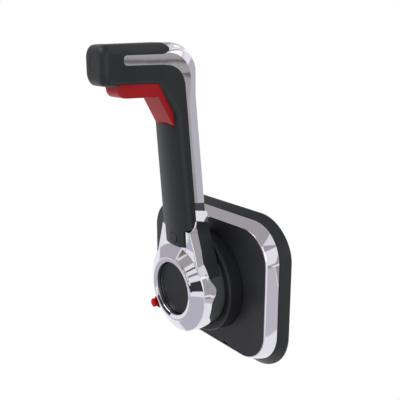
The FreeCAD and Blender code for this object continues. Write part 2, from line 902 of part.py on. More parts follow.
def neck_outline(top, inset=0.0):
    """Outline of the hub's neck, from its top down to the hub, as (x, z) points."""
    right = [
        (horn_outside - inset, top),
        (horn_outside - inset, horn_top),
        (23.8 - inset, 37.4),
        (27.8 - inset, 24.7),
        (29.5 - inset, 14.0),
    ]
    return right + [(-x, z) for x, z in reversed(right)]


def hub_shell():
    skirt_low = skirt_back - lobe_height - 1.0
    rear_radius = cone_radius + skirt_flare
    inner = drum_radius + 0.2
    lip = button_radius + 0.3
    cup = turned(
        [
            (inner, skirt_low),
            (rear_radius, skirt_low),
            (cone_radius, cone_depth),
            (rim_radius, rim_depth),
            (rim_radius - 0.7, rim_depth + 0.7),
            (rim_radius - 1.9, rim_depth + 1.0),
            (rim_radius - 3.1, rim_depth + 0.7),
            (lip, rim_depth - 0.1),
            (lip, button_depth - 2.0),
            (lip + 2.1, button_depth - 2.0),
            (lip + 2.7, rim_depth - 2.9),
            (cone_radius - 2.4, cone_depth - 1.6),
            (inner, cone_depth - 2.4),
        ]
    )
    ring = Part.makeRuledSurface(wavy_ring(drum_radius - 4), wavy_ring(rear_radius + 6))
    cup = cup.cut(ring.extrude(FreeCAD.Vector(0, 20, 0)))
    side = [
        (skirt_back, 10.0),
        (cone_depth, 10.0),
        (cone_depth, cone_radius),
        (horn_tip_depth, horn_top),
        (skirt_back, horn_peak),
    ]
    neck = outward(neck_outline(horn_peak), skirt_back, 60).common(across(side, 40))
    neck = neck.cut(disc(cone_radius - 0.1, 30, 60))
    neck = neck.cut(block(-horn_inside, horn_inside, 30, 60, 10, horn_peak))
    seat = tube(core_hub_radius, core_hub_radius - 1.4, core_hub_far, rim_depth - 2.6)
    slot = block(-horn_inside, horn_inside, 30, cone_depth - 1.6, 20, 60)
    return joined([cup, neck]).cut(slot).fuse(seat).removeSplitter()


def rear_hub_shell():
    """Dark shell behind the bright one, with the strip that closes the arm's foot."""
    drum = disc(drum_radius, drum_back, drum_front)
    above_turret = tube(80.0, drum_radius + 0.8, 0, turret_depth + 0.4)
    profile = [(at_lever(arm_back, z), z) for z in (10.0, horn_top)]
    neck = outward(neck_outline(horn_top + 0.1, 0.5), 30, skirt_back - 0.1)
    neck = neck.common(across(profile + [(60, horn_top), (60, 10.0)], 40)).cut(above_turret)
    upper = lever_body(0).common(block(-30, 30, 0, skirt_back - 0.1, horn_top - 0.01, neck_top))
    body = joined([drum, neck, upper.common(rear_zone())])
    seat_far = core_hub_near - 2.0
    body = body.cut(disc(drum_radius - drum_wall, 0, seat_far))
    body = body.cut(disc(core_hub_radius + 0.3, seat_far, 60))
    body = body.fuse(tube(core_hub_radius + 1, collar_radius + 4, seat_far, core_hub_near))
    top = neck_top + 1.4
    inside = [(at_lever(arm_back + shell_wall, z), z) for z in (18.0, top)]
    body = body.cut(across(inside + [(60, top), (60, 18.0)], core_half + 1.0))
    for x, z in hub_screw_places():
        body = body.cut(disc(hub_screw_radius + 0.05, seat_far, core_hub_near, x, z))
    return body.removeSplitter()


# Lever arm and grip


def arm_wire(z, half, front, back, t, flare=0.0):
    """A level section of the arm, shrunk by t on every side."""
    w = half - t
    v_in = -front + t
    v_out = -back - t
    return section_wire(
        lambda u, v: FreeCAD.Vector(u, v, z),
        (w, flare, v_in, v_out, max(arm_edge - t, 0.8), band_depth - t, band_inset, 1.6, arm_crown),
    )


def section_wire(place, size):
    """Ten-edged outline: crowned inner face, rounded corners, tapering bands, outer face."""
    w, flare, v_in, v_out, r_in, band, inset, r_out, crown = size
    c = 1 - math.sqrt(0.5)
    x1 = w + flare - inset
    x2 = x1 - r_out
    right = [
        ("arc", (w - r_in, v_in), (w - r_in * c, v_in + r_in * c), (w, v_in + r_in)),
        ("line", (w, v_in + r_in), (w + flare, v_out - band)),
        ("line", (w + flare, v_out - band), (x1, v_out - r_out)),
        ("arc", (x1, v_out - r_out), (x1 - r_out * c, v_out - r_out * c), (x2, v_out)),
    ]
    crest = Part.Arc(place(r_in - w, v_in), place(0, v_in - crown), place(w - r_in, v_in))
    edges = [crest.toShape()]
    for kind, *points in right:
        spots = [place(*p) for p in points]
        edges.append(Part.Arc(*spots).toShape() if kind == "arc" else Part.makeLine(*spots))
    edges.append(Part.makeLine(place(x2, v_out), place(-x2, v_out)))
    for kind, *points in reversed(right):
        spots = [place(-p[0], p[1]) for p in reversed(points)]
        edges.append(Part.Arc(*spots).toShape() if kind == "arc" else Part.makeLine(*spots))
    return Part.Wire(edges)


def lever_body(t):
    """The lever's outer form, or its inside when shrunk by the wall t."""
    top_front = gusset_front + gusset_slope * (elbow_z - arm_knee)
    back_knee = at_lever(arm_back, arm_knee)
    straight = Part.makeLoft(
        [
            arm_wire(arm_low, arm_half_low, arm_front_low, arm_back_low, t),
            arm_wire(arm_knee, arm_half_knee, gusset_front, back_knee, t),
        ],
        True,
        True,
    )
    knee = Part.makeLoft(
        [
            arm_wire(arm_knee, arm_half_knee, gusset_front, back_knee, t),
            arm_wire(elbow_z, grip_half + 0.2, top_front, elbow_depth - elbow_radius, t, elbow_flare),
        ],
        True,
        True,
    )
    pieces = [straight, knee]
    stations = []
    for step in range(5):
        a = math.radians(22.5 * step)
        share = step / 4.0
        stations.append(
            section_wire(
                lambda u, v, a=a: FreeCAD.Vector(
                    u, v * math.cos(a) - elbow_depth, elbow_z + v * math.sin(a)
                ),
                (
                    grip_half + 0.2 * (1 - share) - t,
                    elbow_flare * (1 - share),
                    1.0,
                    elbow_radius - t,
                    0.8,
                    band_depth - t + (grip_edge - band_depth) * share,
                    band_inset * (1 - share),
                    1.6 + (grip_edge - t - 1.7) * share,
                    0.05,
                ),
            )
        )
    pieces.append(Part.makeLoft(stations, True, False))
    middle = vec(t - grip_half, elbow_depth, elbow_z)
    pieces.append(Part.makeCylinder(1.3, 2 * (grip_half - t), middle, FreeCAD.Vector(1, 0, 0)))
    top = grip_top - elbow_z
    bottom = grip_bottom - elbow_z
    end = grip_end - t
    grip = Part.makeLoft(
        [
            section_wire(
                lambda u, v, d=depth: vec(u, d, elbow_z + v),
                (
                    grip_half - t,
                    0.0,
                    bottom + t,
                    top - t - fall,
                    grip_low_edge - t,
                    grip_edge - t + 0.6,
                    0.0,
                    grip_edge - t - 0.1,
                    0.02,
                ),
            )
            for depth, fall in ((elbow_depth, 0.0), (end, grip_fall))
        ],
        True,
        True,
    )
    edge = grip_end_edge - t
    if edge > 0.5:
        rim = [e for e in grip.Edges if all(abs(v.Point.y + end) < 0.001 for v in e.Vertexes)]
        grip = grip.makeFillet(edge, rim)
    pieces.append(grip)
    return joined(pieces)


def rear_zone():
    """What lies on the bright side of the line where the two lever shells meet."""
    low_z = 20.0
    high_z = grip_top + 12.7
    start = split_low + split_lean * (low_z - neck_top)
    bend_z = grip_bottom + 0.3
    bend = split_low + split_lean * (bend_z - neck_top)
    reach = 10.0
    points = [
        (start, low_z),
        (bend, bend_z),
        (bend + 1.6, bend_z + 6.0),
        (bend + 5.4, prong_low - 3.2),
        (bend + reach + 1.0, prong_low - 0.6),
        (bend + reach + 8.0, prong_low),
        (prong_end - 2.6, prong_low),
        (prong_end - 0.8, prong_low + 0.9),
        (prong_end, (prong_low + prong_high) / 2),
        (prong_end - 0.8, prong_high - 0.9),
        (prong_end - 2.6, prong_high),
        (tongue_end + 5.0, prong_high + 0.4),
        (tongue_end + 1.6, prong_high + 1.8),
        (tongue_end, prong_high + 4.6),
        (tongue_end + 1.6, prong_high + 7.2),
        (tongue_end + 6.5, prong_high + 9.6),
        (tongue_end + 6.5, high_z),
        (20.0, high_z),
        (20.0, low_z),
    ]
    return across(points, 40)


def trigger_points(grow=0.0):
    """Side outline of the trigger, as (depth, z) points, let out by grow."""
    g = grow
    face = at_lever(arm_front, trigger_foot)
    back = face - 1.6
    front = face + trigger_stand
    bend = front + 0.9 + trigger_slope * (trigger_low - trigger_foot - 1.5)
    return [
        (trigger_end + g, trigger_low + 3.2),
        (trigger_end - 1.0 + g, trigger_low + 1.0 - g),
        (trigger_end - 3.4, trigger_low - g),
        (bend + g, trigger_low - 0.3 - g),
        (front + 0.9 + g, trigger_foot + 1.2 - g),
        (front, trigger_foot - g),
        (back - g, trigger_foot - g),
        (back + 0.9 - g, trigger_foot + 10.0),
        (back + 14.0 - g, grip_bottom - 0.5),
        (back + 14.6, grip_bottom + 3.0 + g),
        (trigger_end - 2.0, grip_bottom + 3.0 + g),
        (trigger_end + g, grip_bottom + 1.0 + g),
    ]


def trigger_pocket():
    """Room in the dark shell for the trigger over its whole lift."""
    lift = FreeCAD.Vector(0, -trigger_travel * lever_lean, trigger_travel)
    corners = [vec(0, d, z) for d, z in trigger_points(trigger_gap)]
    face = Part.Face(Part.makePolygon(corners + corners[:1]))
    half = trigger_half + trigger_gap
    moved = face.copy()
    moved.translate(lift)
    sides = [edge.extrude(lift) for edge in face.Edges]
    faces = [face, moved] + [s for s in sides if s.Area > 0.5]
    bars = []
    for f in faces:
        f.translate(FreeCAD.Vector(-half, 0, 0))
        bars.append(f.extrude(FreeCAD.Vector(2 * half, 0, 0)))
    return joined(bars)


def leg_window():
    """Opening for the trigger's leg, which reaches back to the lock rod."""
    low = leg_low - 3.2
    high = leg_high + trigger_travel + 4.1
    return across([(40, low), (75, low), (75, high), (40, high)], trigger_leg_half + 0.4)


def screw_boss():
    """Boss behind the foot plug that the handle's screw clamps to the core."""
    near = at_lever(core_front, arm_plug_z) + 0.6
    far = at_lever(arm_front, arm_plug_z) - shell_wall + arm_crown + 0.5
    return disc(arm_plug_radius + 1.4, near, far, 0, arm_plug_z)


def front_shell(outer, inner):
    shell = outer.cut(inner).cut(rear_zone())
    shell = shell.cut(trigger_pocket()).cut(leg_window()).fuse(screw_boss())
    chin = horn_inside - 0.3
    gap = 0.3
    slant = [
        (40, 10),
        (70, 10),
        (70, horn_top + gap),
        (horn_tip_depth, horn_top + gap),
        (skirt_back, horn_peak + gap + 0.2),
        (40, horn_peak + gap + 0.2),
    ]
    shell = shell.cut(across(slant, 40).cut(block(-chin, chin, 30, 80, 0, 70)))
    for side in (-1, 1):
        corner = [
            (side * (arm_half_low - 4.0), horn_top),
            (side * (arm_half_low - 4.0), horn_top + 0.8),
            (side * (arm_half_low - 1.2), horn_top + 2.4),
            (side * arm_half_low, horn_top + 5.0),
            (side * 30, horn_top + 5.0),
            (side * 30, horn_top),
        ]
        shell = shell.cut(outward(corner, 40, 70))
    side_z = cone_radius + 1.6
    chin_line = [(-20, 20), (-20, side_z), (-chin, side_z), (-6, side_z - 1.1), (0, side_z - 1.3)]
    chin_line += [(6, side_z - 1.1), (chin, side_z), (20, side_z), (20, 20)]
    shell = shell.cut(outward(chin_line, 30, 70))
    floor = at_lever(core_front, arm_plug_z) + 2.2
    shell = shell.cut(disc(arm_plug_radius, floor, 70, 0, arm_plug_z))
    shell = shell.cut(disc(2.8, 40, floor, 0, arm_plug_z))
    shell = shell.cut(disc(plug_radius, grip_end - 6, grip_end + 5, 0, plug_z))
    return largest(shell)


def largest(shape):
    """Keeps the main solid when a cut leaves slivers."""
    return max(shape.removeSplitter().Solids, key=lambda s: s.Volume)


def end_plug():
    plug = disc(plug_radius - 0.15, grip_end - 5.0, grip_end - 0.1, 0, plug_z)
    collar = disc(plug_radius + 1.2, grip_end - 5.0, grip_end - 3.2, 0, plug_z)
    return plug.fuse(collar).removeSplitter()


def arm_plug():
    face = at_lever(arm_front, arm_plug_z) + arm_crown
    return disc(arm_plug_radius - 0.15, face - 2.6, face - 0.1, 0, arm_plug_z)


def chrome_spine(outer, inner):
    spine = outer.cut(inner).common(rear_zone())
    spine = spine.cut(block(-40, 40, 0, 80, 0, foot_spacer_top + 0.1))
    bosses = []
    for z in spine_screw_heights:
        for side in (-1, 1):
            x = side * spine_screw_x
            near = at_lever(arm_back, z) + 1.0
            boss = disc(3.4, near, at_lever(core_back, z) - 0.4, x, z)
            bosses.append(boss.cut(disc(spine_screw_radius + 0.05, near + 2, 80, x, z)))
    return largest(spine.fuse(bosses))


def foot_slice(outer, inner, z0, z1):
    ring = outer.cut(inner).common(rear_zone())
    return largest(ring.common(block(-40, 40, 0, 80, z0, z1)))


def hub_screw_places():
    c = hub_screw_circle
    angles = [math.radians(a) for a in (0, 180, 240, 300)]
    return [(c * math.cos(a), c * math.sin(a)) for a in angles]


def core_outline():
    """Side outline of the cast core: up the arm, round the elbow and along the grip."""
    back = [(core_hub_near, 10.0), (core_hub_near, 30.0)]
    back += [(at_lever(core_back, z), z) for z in (40.0, 157.0)]
    grip_back = [(50.6, grip_bar_low - 6.2), (57.0, grip_bar_top - 4.9)]
    grip_back += [(70.0, grip_bar_top + 1.0), (grip_bar_end, grip_bar_top)]
    grip_front = [(grip_bar_end, grip_bar_low), (76.0, grip_bar_low), (65.5, grip_bar_low - 5.6)]
    front = [(at_lever(core_front, z), z) for z in (146.0, 40.0)]
    foot = [(core_hub_far, core_low), (core_hub_far, 10.0)]
    return back + grip_back + grip_front + front + foot


def core_pocket(z0, z1):
    """A lightening pocket in the core's front."""
    deep = [(at_lever(core_front, z) - 2.2, z) for z in (z0, z1)]
    open_side = [(at_lever(core_front, z) + 3.0, z) for z in (z1, z0)]
    return across(deep + open_side, 4.6)


def guide_lug(z0, z1):
    near = [(at_lever(lug_back, z), z) for z in (z0, z1)]
    far = [(at_lever(core_back, z) + 1.0, z) for z in (z1, z0)]
    return across(near + far, 5.2)


def lever_core():
    """Die-cast core: hub, arm and grip bar, with guides for the lock rod."""
    hub = disc(core_hub_radius, core_hub_near, core_hub_far)
    arm = across(core_outline(), core_half)
    slim = leg_high + 0.6  # above this the core is narrower, and narrower still in the grip
    elbow = block(-9.6, 9.6, 30, 76, slim, grip_top)
    bar = block(-8, 8, 76, grip_end, slim, grip_top)
    arm = arm.cut(block(-40, 40, 30, grip_end, slim, grip_top).cut(elbow).cut(bar))
    body = joined([hub, arm] + [guide_lug(z0, z1) for z0, z1 in guide_lugs])
    body = body.cut(leaning_bar(rod_radius + 0.1, 30, leg_high + 10.6))
    body = body.cut(leaning_bar(5.3, spring_low - 8.0, spring_high))
    body = body.cut(leg_window())
    body = body.cut(core_pocket(64.0, 82.0)).cut(core_pocket(94.0, 116.0))
    body = body.cut(hexagon(hex_radius + 0.05, 30, 60))
    body = body.cut(disc(button_radius + 2.5, core_hub_floor, core_hub_far + 1))
    spot = at_lever(core_front, arm_plug_z) - 0.4
    body = body.cut(disc(arm_plug_radius + 1.7, spot, 60, 0, arm_plug_z))
    body = body.cut(disc(2.55, 40, 60, 0, arm_plug_z))
    for x, z in hub_screw_places():
        body = body.cut(disc(hub_screw_radius + 0.05, 40, 60, x, z))
        body = body.cut(disc(3.1, core_hub_floor - 1.7, 60, x, z))
    for z in spine_screw_heights:
        for side in (-1, 1):
            body = body.cut(disc(spine_screw_radius + 0.4, 30, 80, side * spine_screw_x, z))
    body = body.cut(Part.makeCylinder(set_screw_radius + 0.05, 30, vec(0, set_screw_depth, -30)))
    return largest(body)


def hub_set_screw():
    """Grub screw that holds the core on the shaft's hexagon."""
    flat = hex_radius * math.cos(math.radians(30))
    length = core_hub_radius - 0.6 - flat
    low = -core_hub_radius
    screw = Part.makeCylinder(set_screw_radius, length, vec(0, set_screw_depth, low + 0.5))
    slot = block(-3, 3, set_screw_depth - 0.3, set_screw_depth + 0.3, low, low + 1.4)
    return screw.cut(slot)


def hub_screws():
    screws = []
    for x, z in hub_screw_places():
        shank = disc(hub_screw_radius, core_hub_near - 1.9, core_hub_floor - 1.6, x, z)
        head = disc(3.0, core_hub_floor - 1.6, core_hub_floor - 0.1, x, z)
        screws.append(socket_cut(shank.fuse(head), 1.4, core_hub_floor - 0.9, core_hub_floor, x, z))
    return Part.makeCompound(screws)


def spine_screws():
    screws = []
    for z in spine_screw_heights:
        for side in (-1, 1):
            x = side * spine_screw_x
            far = at_lever(core_front, z) + 0.4
            shank = disc(spine_screw_radius, at_lever(core_back, z) - 4.5, far, x, z)
            head = disc(2.3, far, far + 1.4, x, z)
            screws.append(socket_cut(shank.fuse(head), 1.1, far + 0.7, far + 1.4, x, z))
    return Part.makeCompound(screws)


def handle_screw():
    near = at_lever(core_front, arm_plug_z)
    shank = disc(2.5, near - 5.0, near + 2.3, 0, arm_plug_z)
    head = disc(4.2, near + 2.3, near + 4.0, 0, arm_plug_z)
    return socket_cut(shank.fuse(head), 1.9, near + 3.0, near + 4.0, 0, arm_plug_z)


# Trigger, rod and pawl


def trigger():
    body = across(trigger_points(), trigger_half)
    front = at_lever(arm_front, trigger_foot) + trigger_stand
    edges = []
    for e in body.Edges:
        a, b = e.Vertexes[0].Point, e.Vertexes[-1].Point
        on_side = abs(abs(a.x) - trigger_half) < 0.01 and abs(a.x - b.x) < 0.01
        low = (a.z + b.z) / 2 < trigger_low + 1.4 and min(a.y, b.y) < 0.1 - front
        if on_side and low:
            edges.append(e)
    body = body.makeChamfer(1.4, edges)
    rear = [(at_lever(rod_offset - rod_radius - 1.3, z), z) for z in (leg_low, leg_high)]
    leg = across(rear + [(front + 6.8, leg_high), (front + 2.8, leg_low)], trigger_leg_half)
    return joined([body, leg]).cut(leaning_bar(rod_radius, leg_low - 11.0, leg_high + 10.0))


def lock_rod():
    rod = leaning_bar(rod_radius, 33.0, leg_high + 3.2)
    collar = leaning_bar(4.1, spring_low - 2.4, spring_low - 0.2)
    return rod.fuse(collar).removeSplitter()


def lock_pawl():
    foot_z = lock_ring_radius + 0.35
    far = core_hub_near - 1.6
    near = lock_ring_start + lock_ring_thickness + 0.9
    foot = block(-3.9, 3.9, lock_ring_start + 1.0, far, foot_z, foot_z + 2.8)
    stem = block(-3.9, 3.9, near, far, foot_z, 35.5)
    pawl = foot.fuse(stem).removeSplitter()
    return pawl.cut(leaning_bar(rod_radius, 32.6, 60))


def rod_nut():
    z = leg_high + 0.5
    start = vec(0, at_lever(rod_offset, z), z)
    end = vec(0, at_lever(rod_offset, z + 2.4), z + 2.4)
    corners = [
        FreeCAD.Vector(4.0 * math.cos(math.radians(a)), 4.0 * math.sin(math.radians(a)), 0)
        for a in range(0, 360, 60)
    ]
    nut = Part.Face(Part.makePolygon(corners + corners[:1])).extrude(FreeCAD.Vector(0, 0, 2.0))
    nut.Placement = FreeCAD.Placement(start, FreeCAD.Rotation(FreeCAD.Vector(0, 0, 1), end - start))
    return nut.cut(leaning_bar(rod_radius, z - 10.0, z + 10.0))


def lock_spring():
    start = vec(0, at_lever(rod_offset, spring_low), spring_low)
    end = vec(0, at_lever(rod_offset, spring_high - 0.3), spring_high - 0.3)
    return coil(3.6, 0.5, start, end, 7)


# Middle button


def throttle_only_button():
    flange = button_radius + 1.7
    back = button_depth - 2.6
    return turned(
        [
            (0, back - 0.7),
            (flange, back - 0.7),
            (flange, back),
            (button_radius, back),
            (button_radius, button_depth - 0.6),
            (button_radius - 0.6, button_depth),
            (button_radius - 3.2, button_depth),
            (button_radius - 3.6, button_depth - 0.4),
            (0, button_depth - 0.4),
        ]
    )


def button_stem():
    """Stem through the shaft, with the hole for the clutch pin near its end."""
    middle = shift_near + gear_thickness / 2
    far = button_depth - 3.4
    stem = disc(shaft_bore - running_gap, middle - 1.6, far)
    stem = stem.fuse(disc(6.4, far - 0.9, far)).removeSplitter()
    start = vec(-20, middle, 0)
    return stem.cut(Part.makeCylinder(clutch_pin_radius, 40, start, FreeCAD.Vector(1, 0, 0)))


def button_spring():
    start = vec(0, spring_pocket_depth + 0.1, 0)
    return coil(5.3, 0.45, start, vec(0, button_depth - 4.4, 0), 4)


def build():
    outer = lever_body(0)
    inner = lever_body(shell_wall)
    return {
        "base_housing": base_housing(),
        "chrome_trim": chrome_trim(),
        "cover_plate": cover_plate(),
        "mechanism_housing": mechanism_housing(),
        "housing_screws": housing_screws(),
        "front_bush": shaft_bush(bearing_end - bush_length),
        "rear_bush": shaft_bush(bearing_start),
        "thrust_washer": thrust_washer(),
        "neutral_lock_ring": neutral_lock_ring(),
        "lock_ring_screws": lock_ring_screws(),
        "arm_pins": arm_pins(),
        "pin_circlips": pin_circlips(),
        "detent_ball": detent_ball(),
        "detent_spring": detent_spring(),
        "detent_screw": detent_screw(),
        "friction_pad": friction_pad(),
        "friction_screw": friction_screw(),
        "neutral_switch": neutral_switch(),
        "switch_screws": switch_screws(),
        "cable_brackets": cable_brackets(),
        "bracket_rivets": bracket_rivets(),
        "stop_switch_body": stop_switch_body(),
        "stop_switch_nut": stop_switch_nut(),
        "stop_button": stop_button(),
        "stop_spring": stop_spring(),
        "shift_arm": follower(*shift_side),
        "throttle_arm": follower(*throttle_side),
        "throttle_pinion": throttle_pinion(),
        "shift_pinion": shift_pinion(),
        "clutch_pin": clutch_pin(),
        "neutral_cam": neutral_cam(),
        "main_shaft": main_shaft(),
        "shaft_circlip": shaft_circlip(),
        "lever_core": lever_core(),
        "hub_shell": hub_shell(),
        "hub_screws": hub_screws(),
        "hub_set_screw": hub_set_screw(),
        "rear_hub_shell": rear_hub_shell(),
        "front_shell": front_shell(outer, inner),
        "chrome_spine": chrome_spine(outer, inner),
        "spine_foot_spacer": foot_slice(outer, inner, foot_cap_top + 0.1, foot_spacer_top),
        "spine_foot_cap": foot_slice(outer, inner, neck_top + 0.1, foot_cap_top),
        "spine_screws": spine_screws(),
        "handle_screw": handle_screw(),
        "arm_plug": arm_plug(),
        "grip_end_plug": end_plug(),
        "trigger": trigger(),
        "lock_rod": lock_rod(),
        "rod_nut": rod_nut(),
        "lock_pawl": lock_pawl(),
        "lock_spring": lock_spring(),
        "throttle_only_button": throttle_only_button(),
        "button_stem": button_stem(),
        "button_spring": button_spring(),
    }


os.makedirs("parts", exist_ok=True)
for name, shape in build().items():
    shape.translate(FreeCAD.Vector(hub_offset, 0, 0))
    shape.exportStep("parts/" + name + ".step")
    print(name, "valid" if shape.isValid() else "INVALID", len(shape.Solids), round(shape.Volume, 1))
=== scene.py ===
import math

import bmesh
import bpy
import numpy as np
from mathutils import Matrix, Vector


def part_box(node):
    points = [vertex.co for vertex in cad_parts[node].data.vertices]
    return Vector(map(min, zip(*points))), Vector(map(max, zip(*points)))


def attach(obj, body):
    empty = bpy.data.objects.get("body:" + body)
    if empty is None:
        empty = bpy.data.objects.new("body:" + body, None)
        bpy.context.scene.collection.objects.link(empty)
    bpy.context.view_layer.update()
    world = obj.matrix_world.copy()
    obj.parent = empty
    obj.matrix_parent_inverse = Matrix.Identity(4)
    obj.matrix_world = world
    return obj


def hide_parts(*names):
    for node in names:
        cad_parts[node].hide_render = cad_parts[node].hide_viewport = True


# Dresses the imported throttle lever. Shapes are in millimetres as (x, depth, z): x across from the
# lever's pivot, depth out of the wall (world Y is minus the depth) and z up. Meshes are in metres.

mm = 0.001
weldDistance = 1e-6  # metres within which points count as one

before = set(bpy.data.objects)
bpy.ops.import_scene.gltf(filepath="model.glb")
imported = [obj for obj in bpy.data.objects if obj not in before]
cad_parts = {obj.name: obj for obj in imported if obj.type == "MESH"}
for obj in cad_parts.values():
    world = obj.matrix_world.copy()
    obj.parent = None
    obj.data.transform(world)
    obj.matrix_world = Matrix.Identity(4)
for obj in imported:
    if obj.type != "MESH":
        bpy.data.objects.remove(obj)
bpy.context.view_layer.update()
print("frame loaded:", len(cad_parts), "nodes")

# The pivot's place, from the hub button's box
buttonLow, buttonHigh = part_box("throttle_only_button")
pivotX = (buttonLow.x + buttonHigh.x) / 2 / mm


def smoothStep(a, b, t):
    # 0 up to a, 1 from b on, and 3 s^2 - 2 s^3 of the share s of the way between them
    s = np.clip((np.asarray(t, float) - a) / (b - a), 0, 1)
    return s * s * (3 - 2 * s)


def blendAt(t, stops, values):
    # Eases from each value to the next between its stops
    out = np.full_like(np.asarray(t, float), values[0])
    for k in range(len(stops) - 1):
        out = out + (values[k + 1] - values[k]) * smoothStep(stops[k], stops[k + 1], t)
    return out


def roundedLine(points, radii, closed=True, steps=6):
    # A line whose corners are arcs of the given radii, tangent to both sides. An arc that would
    # take more than its share of a side is made smaller.
    sideShare = 0.49
    pts = [np.array(p, float) for p in points]
    n = len(pts)
    out = []
    for i, p in enumerate(pts):
        r = radii[i]
        if (not closed and i in (0, n - 1)) or r <= 0:
            out.append(p)
            continue
        a, b = pts[i - 1] - p, pts[(i + 1) % n] - p
        la, lb = np.linalg.norm(a), np.linalg.norm(b)
        a, b = a / la, b / lb
        half = math.acos(np.clip(a @ b, -1, 1)) / 2
        cut = min(r / math.tan(half), sideShare * la, sideShare * lb)
        r = cut * math.tan(half)
        middle = p + (a + b) / np.linalg.norm(a + b) * r / math.sin(half)
        start, end = p + a * cut - middle, p + b * cut - middle
        turn = math.atan2(start[0] * end[1] - start[1] * end[0], start @ end)
        for k in range(steps + 1):
            c, s = math.cos(turn * k / steps), math.sin(turn * k / steps)
            out.append(middle + [c * start[0] - s * start[1], s * start[0] + c * start[1]])
    return np.array(out)


def resampled(line, count, closed=True):
    # The same line with its points evenly spaced along it
    pts = np.vstack([line, line[:1]]) if closed else line
    run = np.concatenate([[0], np.cumsum(np.linalg.norm(np.diff(pts, axis=0), axis=1))])
    at = np.linspace(0, run[-1], count + 1)[:-1] if closed else np.linspace(0, run[-1], count)
    return np.stack([np.interp(at, run, pts[:, k]) for k in range(pts.shape[1])], axis=1)


def rectangle(left, low, right, high):
    # Its four corners, in order
    return np.array([(left, low), (right, low), (right, high), (left, high)], float)


def circle(radius, x, z, count=64):
    # Points evenly round the middle (x, z)
    a = np.linspace(0, 2 * math.pi, count, endpoint=False)
    return np.column_stack([x + radius * np.cos(a), z + radius * np.sin(a)])


def gridFaces(rows, columns, wrapRows=False, wrapColumns=False):
    # Quads of a grid whose point (i, j) is number i * columns + j
    i = np.arange(rows if wrapRows else rows - 1)[:, None]
    j = np.arange(columns if wrapColumns else columns - 1)[None, :]
    a = i * columns + j
    b = i * columns + (j + 1) % columns
    c = ((i + 1) % rows) * columns + (j + 1) % columns
    d = ((i + 1) % rows) * columns + j
    return np.stack([a, b, c, d], axis=-1).reshape(-1, 4).tolist()


def tubeFaces(rows, columns):
    # Quads round a tube of closed rings, and one face over each end
    ends = [list(range(columns))[::-1], list(range((rows - 1) * columns, rows * columns))]
    return gridFaces(rows, columns, wrapColumns=True) + ends


def weld(mesh, turnOutwards):
    # Merges points that lie together, and can turn the faces outwards
    work = bmesh.new()
    work.from_mesh(mesh)
    bmesh.ops.remove_doubles(work, verts=work.verts, dist=weldDistance)
    if turnOutwards:
        bmesh.ops.recalc_face_normals(work, faces=work.faces)
    work.to_mesh(mesh)
    work.free()


def addObject(name, data):
    obj = bpy.data.objects.new(name, data)
    bpy.context.scene.collection.objects.link(obj)
    return obj


def shadeSmooth(obj, angle):
    obj.data.polygons.foreach_set("use_smooth", [True] * len(obj.data.polygons))
    obj.data.set_sharp_from_angle(angle=math.radians(angle))
    obj.data.update()


def makeMesh(name, points, faces, sharpAngle=35):
    # points in mm as (x, depth, z); doubles are merged before the normals are turned outwards
    p = np.asarray(points, float).reshape(-1, 3)
    world = np.stack([p[:, 0] + pivotX, -p[:, 1], p[:, 2]], axis=1) * mm
    mesh = bpy.data.meshes.new(name)
    mesh.from_pydata(world.tolist(), [], faces)
    mesh.validate()
    weld(mesh, True)
    obj = addObject(name, mesh)
    shadeSmooth(obj, sharpAngle)
    return obj


def finishPiece(obj, body, slotName, material, *replaced):
    obj.data.materials.clear()
    obj.data.materials.append(material)
    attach(obj, body)
    if replaced:
        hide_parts(*replaced)


def applyModifiers(obj):
    graph = bpy.context.evaluated_depsgraph_get()
    old = obj.data
    mesh = bpy.data.meshes.new_from_object(obj.evaluated_get(graph))
    obj.modifiers.clear()
    obj.data = mesh
    bpy.data.meshes.remove(old)


def evenNormals(obj, angle=22):
    # Large faces keep their own direction, and the rounded edges turn between them
    shadeSmooth(obj, angle)
    modifier = obj.modifiers.new("even", "WEIGHTED_NORMAL")
    modifier.weight = 100
    modifier.keep_sharp = True
    applyModifiers(obj)


def removeObject(obj):
    bpy.data.objects.remove(obj, do_unlink=True)


def boolean(obj, tool, operation):
    modifier = obj.modifiers.new("cut", "BOOLEAN")
    modifier.object = tool
    modifier.operation = operation
    modifier.solver = "EXACT"
    applyModifiers(obj)


def useUp(obj, tool, operation):
    # The tool is gone afterwards
    boolean(obj, tool, operation)
    removeObject(tool)


def cutWith(obj, *tools):
    for tool in tools:
        useUp(obj, tool, "DIFFERENCE")


def copyOf(obj, name):
    return addObject(name, obj.data.copy())


def mergedCopy(node, name):
    # A copy of a CAD mesh, its doubles merged
    twin = copyOf(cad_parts[node], name)
    twin.data.transform(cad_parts[node].matrix_world)
    weld(twin.data, False)
    shadeSmooth(twin, 30)
    return twin


def crossBar(name, outline, half):
    # A bar across the lever: a closed (depth, z) outline carried from x = -half to x = half
    left = np.column_stack([np.full(len(outline), -half), outline])
    return makeMesh(name, np.vstack([left, left * [-1, 1, 1]]), tubeFaces(2, len(outline)))


def sideBar(name, outline, x0, x1):
    # A bar across the lever from x0 to x1
    obj = crossBar(name, np.array(outline, float), (x1 - x0) / 2)
    obj.data.transform(Matrix.Translation(((x0 + x1) / 2 * mm, 0, 0)))
    return obj


def outwardBar(name, outline, near, far):
    # A bar along the wall's normal: a closed (x, z) outline carried from one depth to another
    low = np.column_stack([outline[:, 0], np.full(len(outline), near), outline[:, 1]])
    return makeMesh(name, np.vstack([low, low + [0, far - near, 0]]), tubeFaces(2, len(outline)))


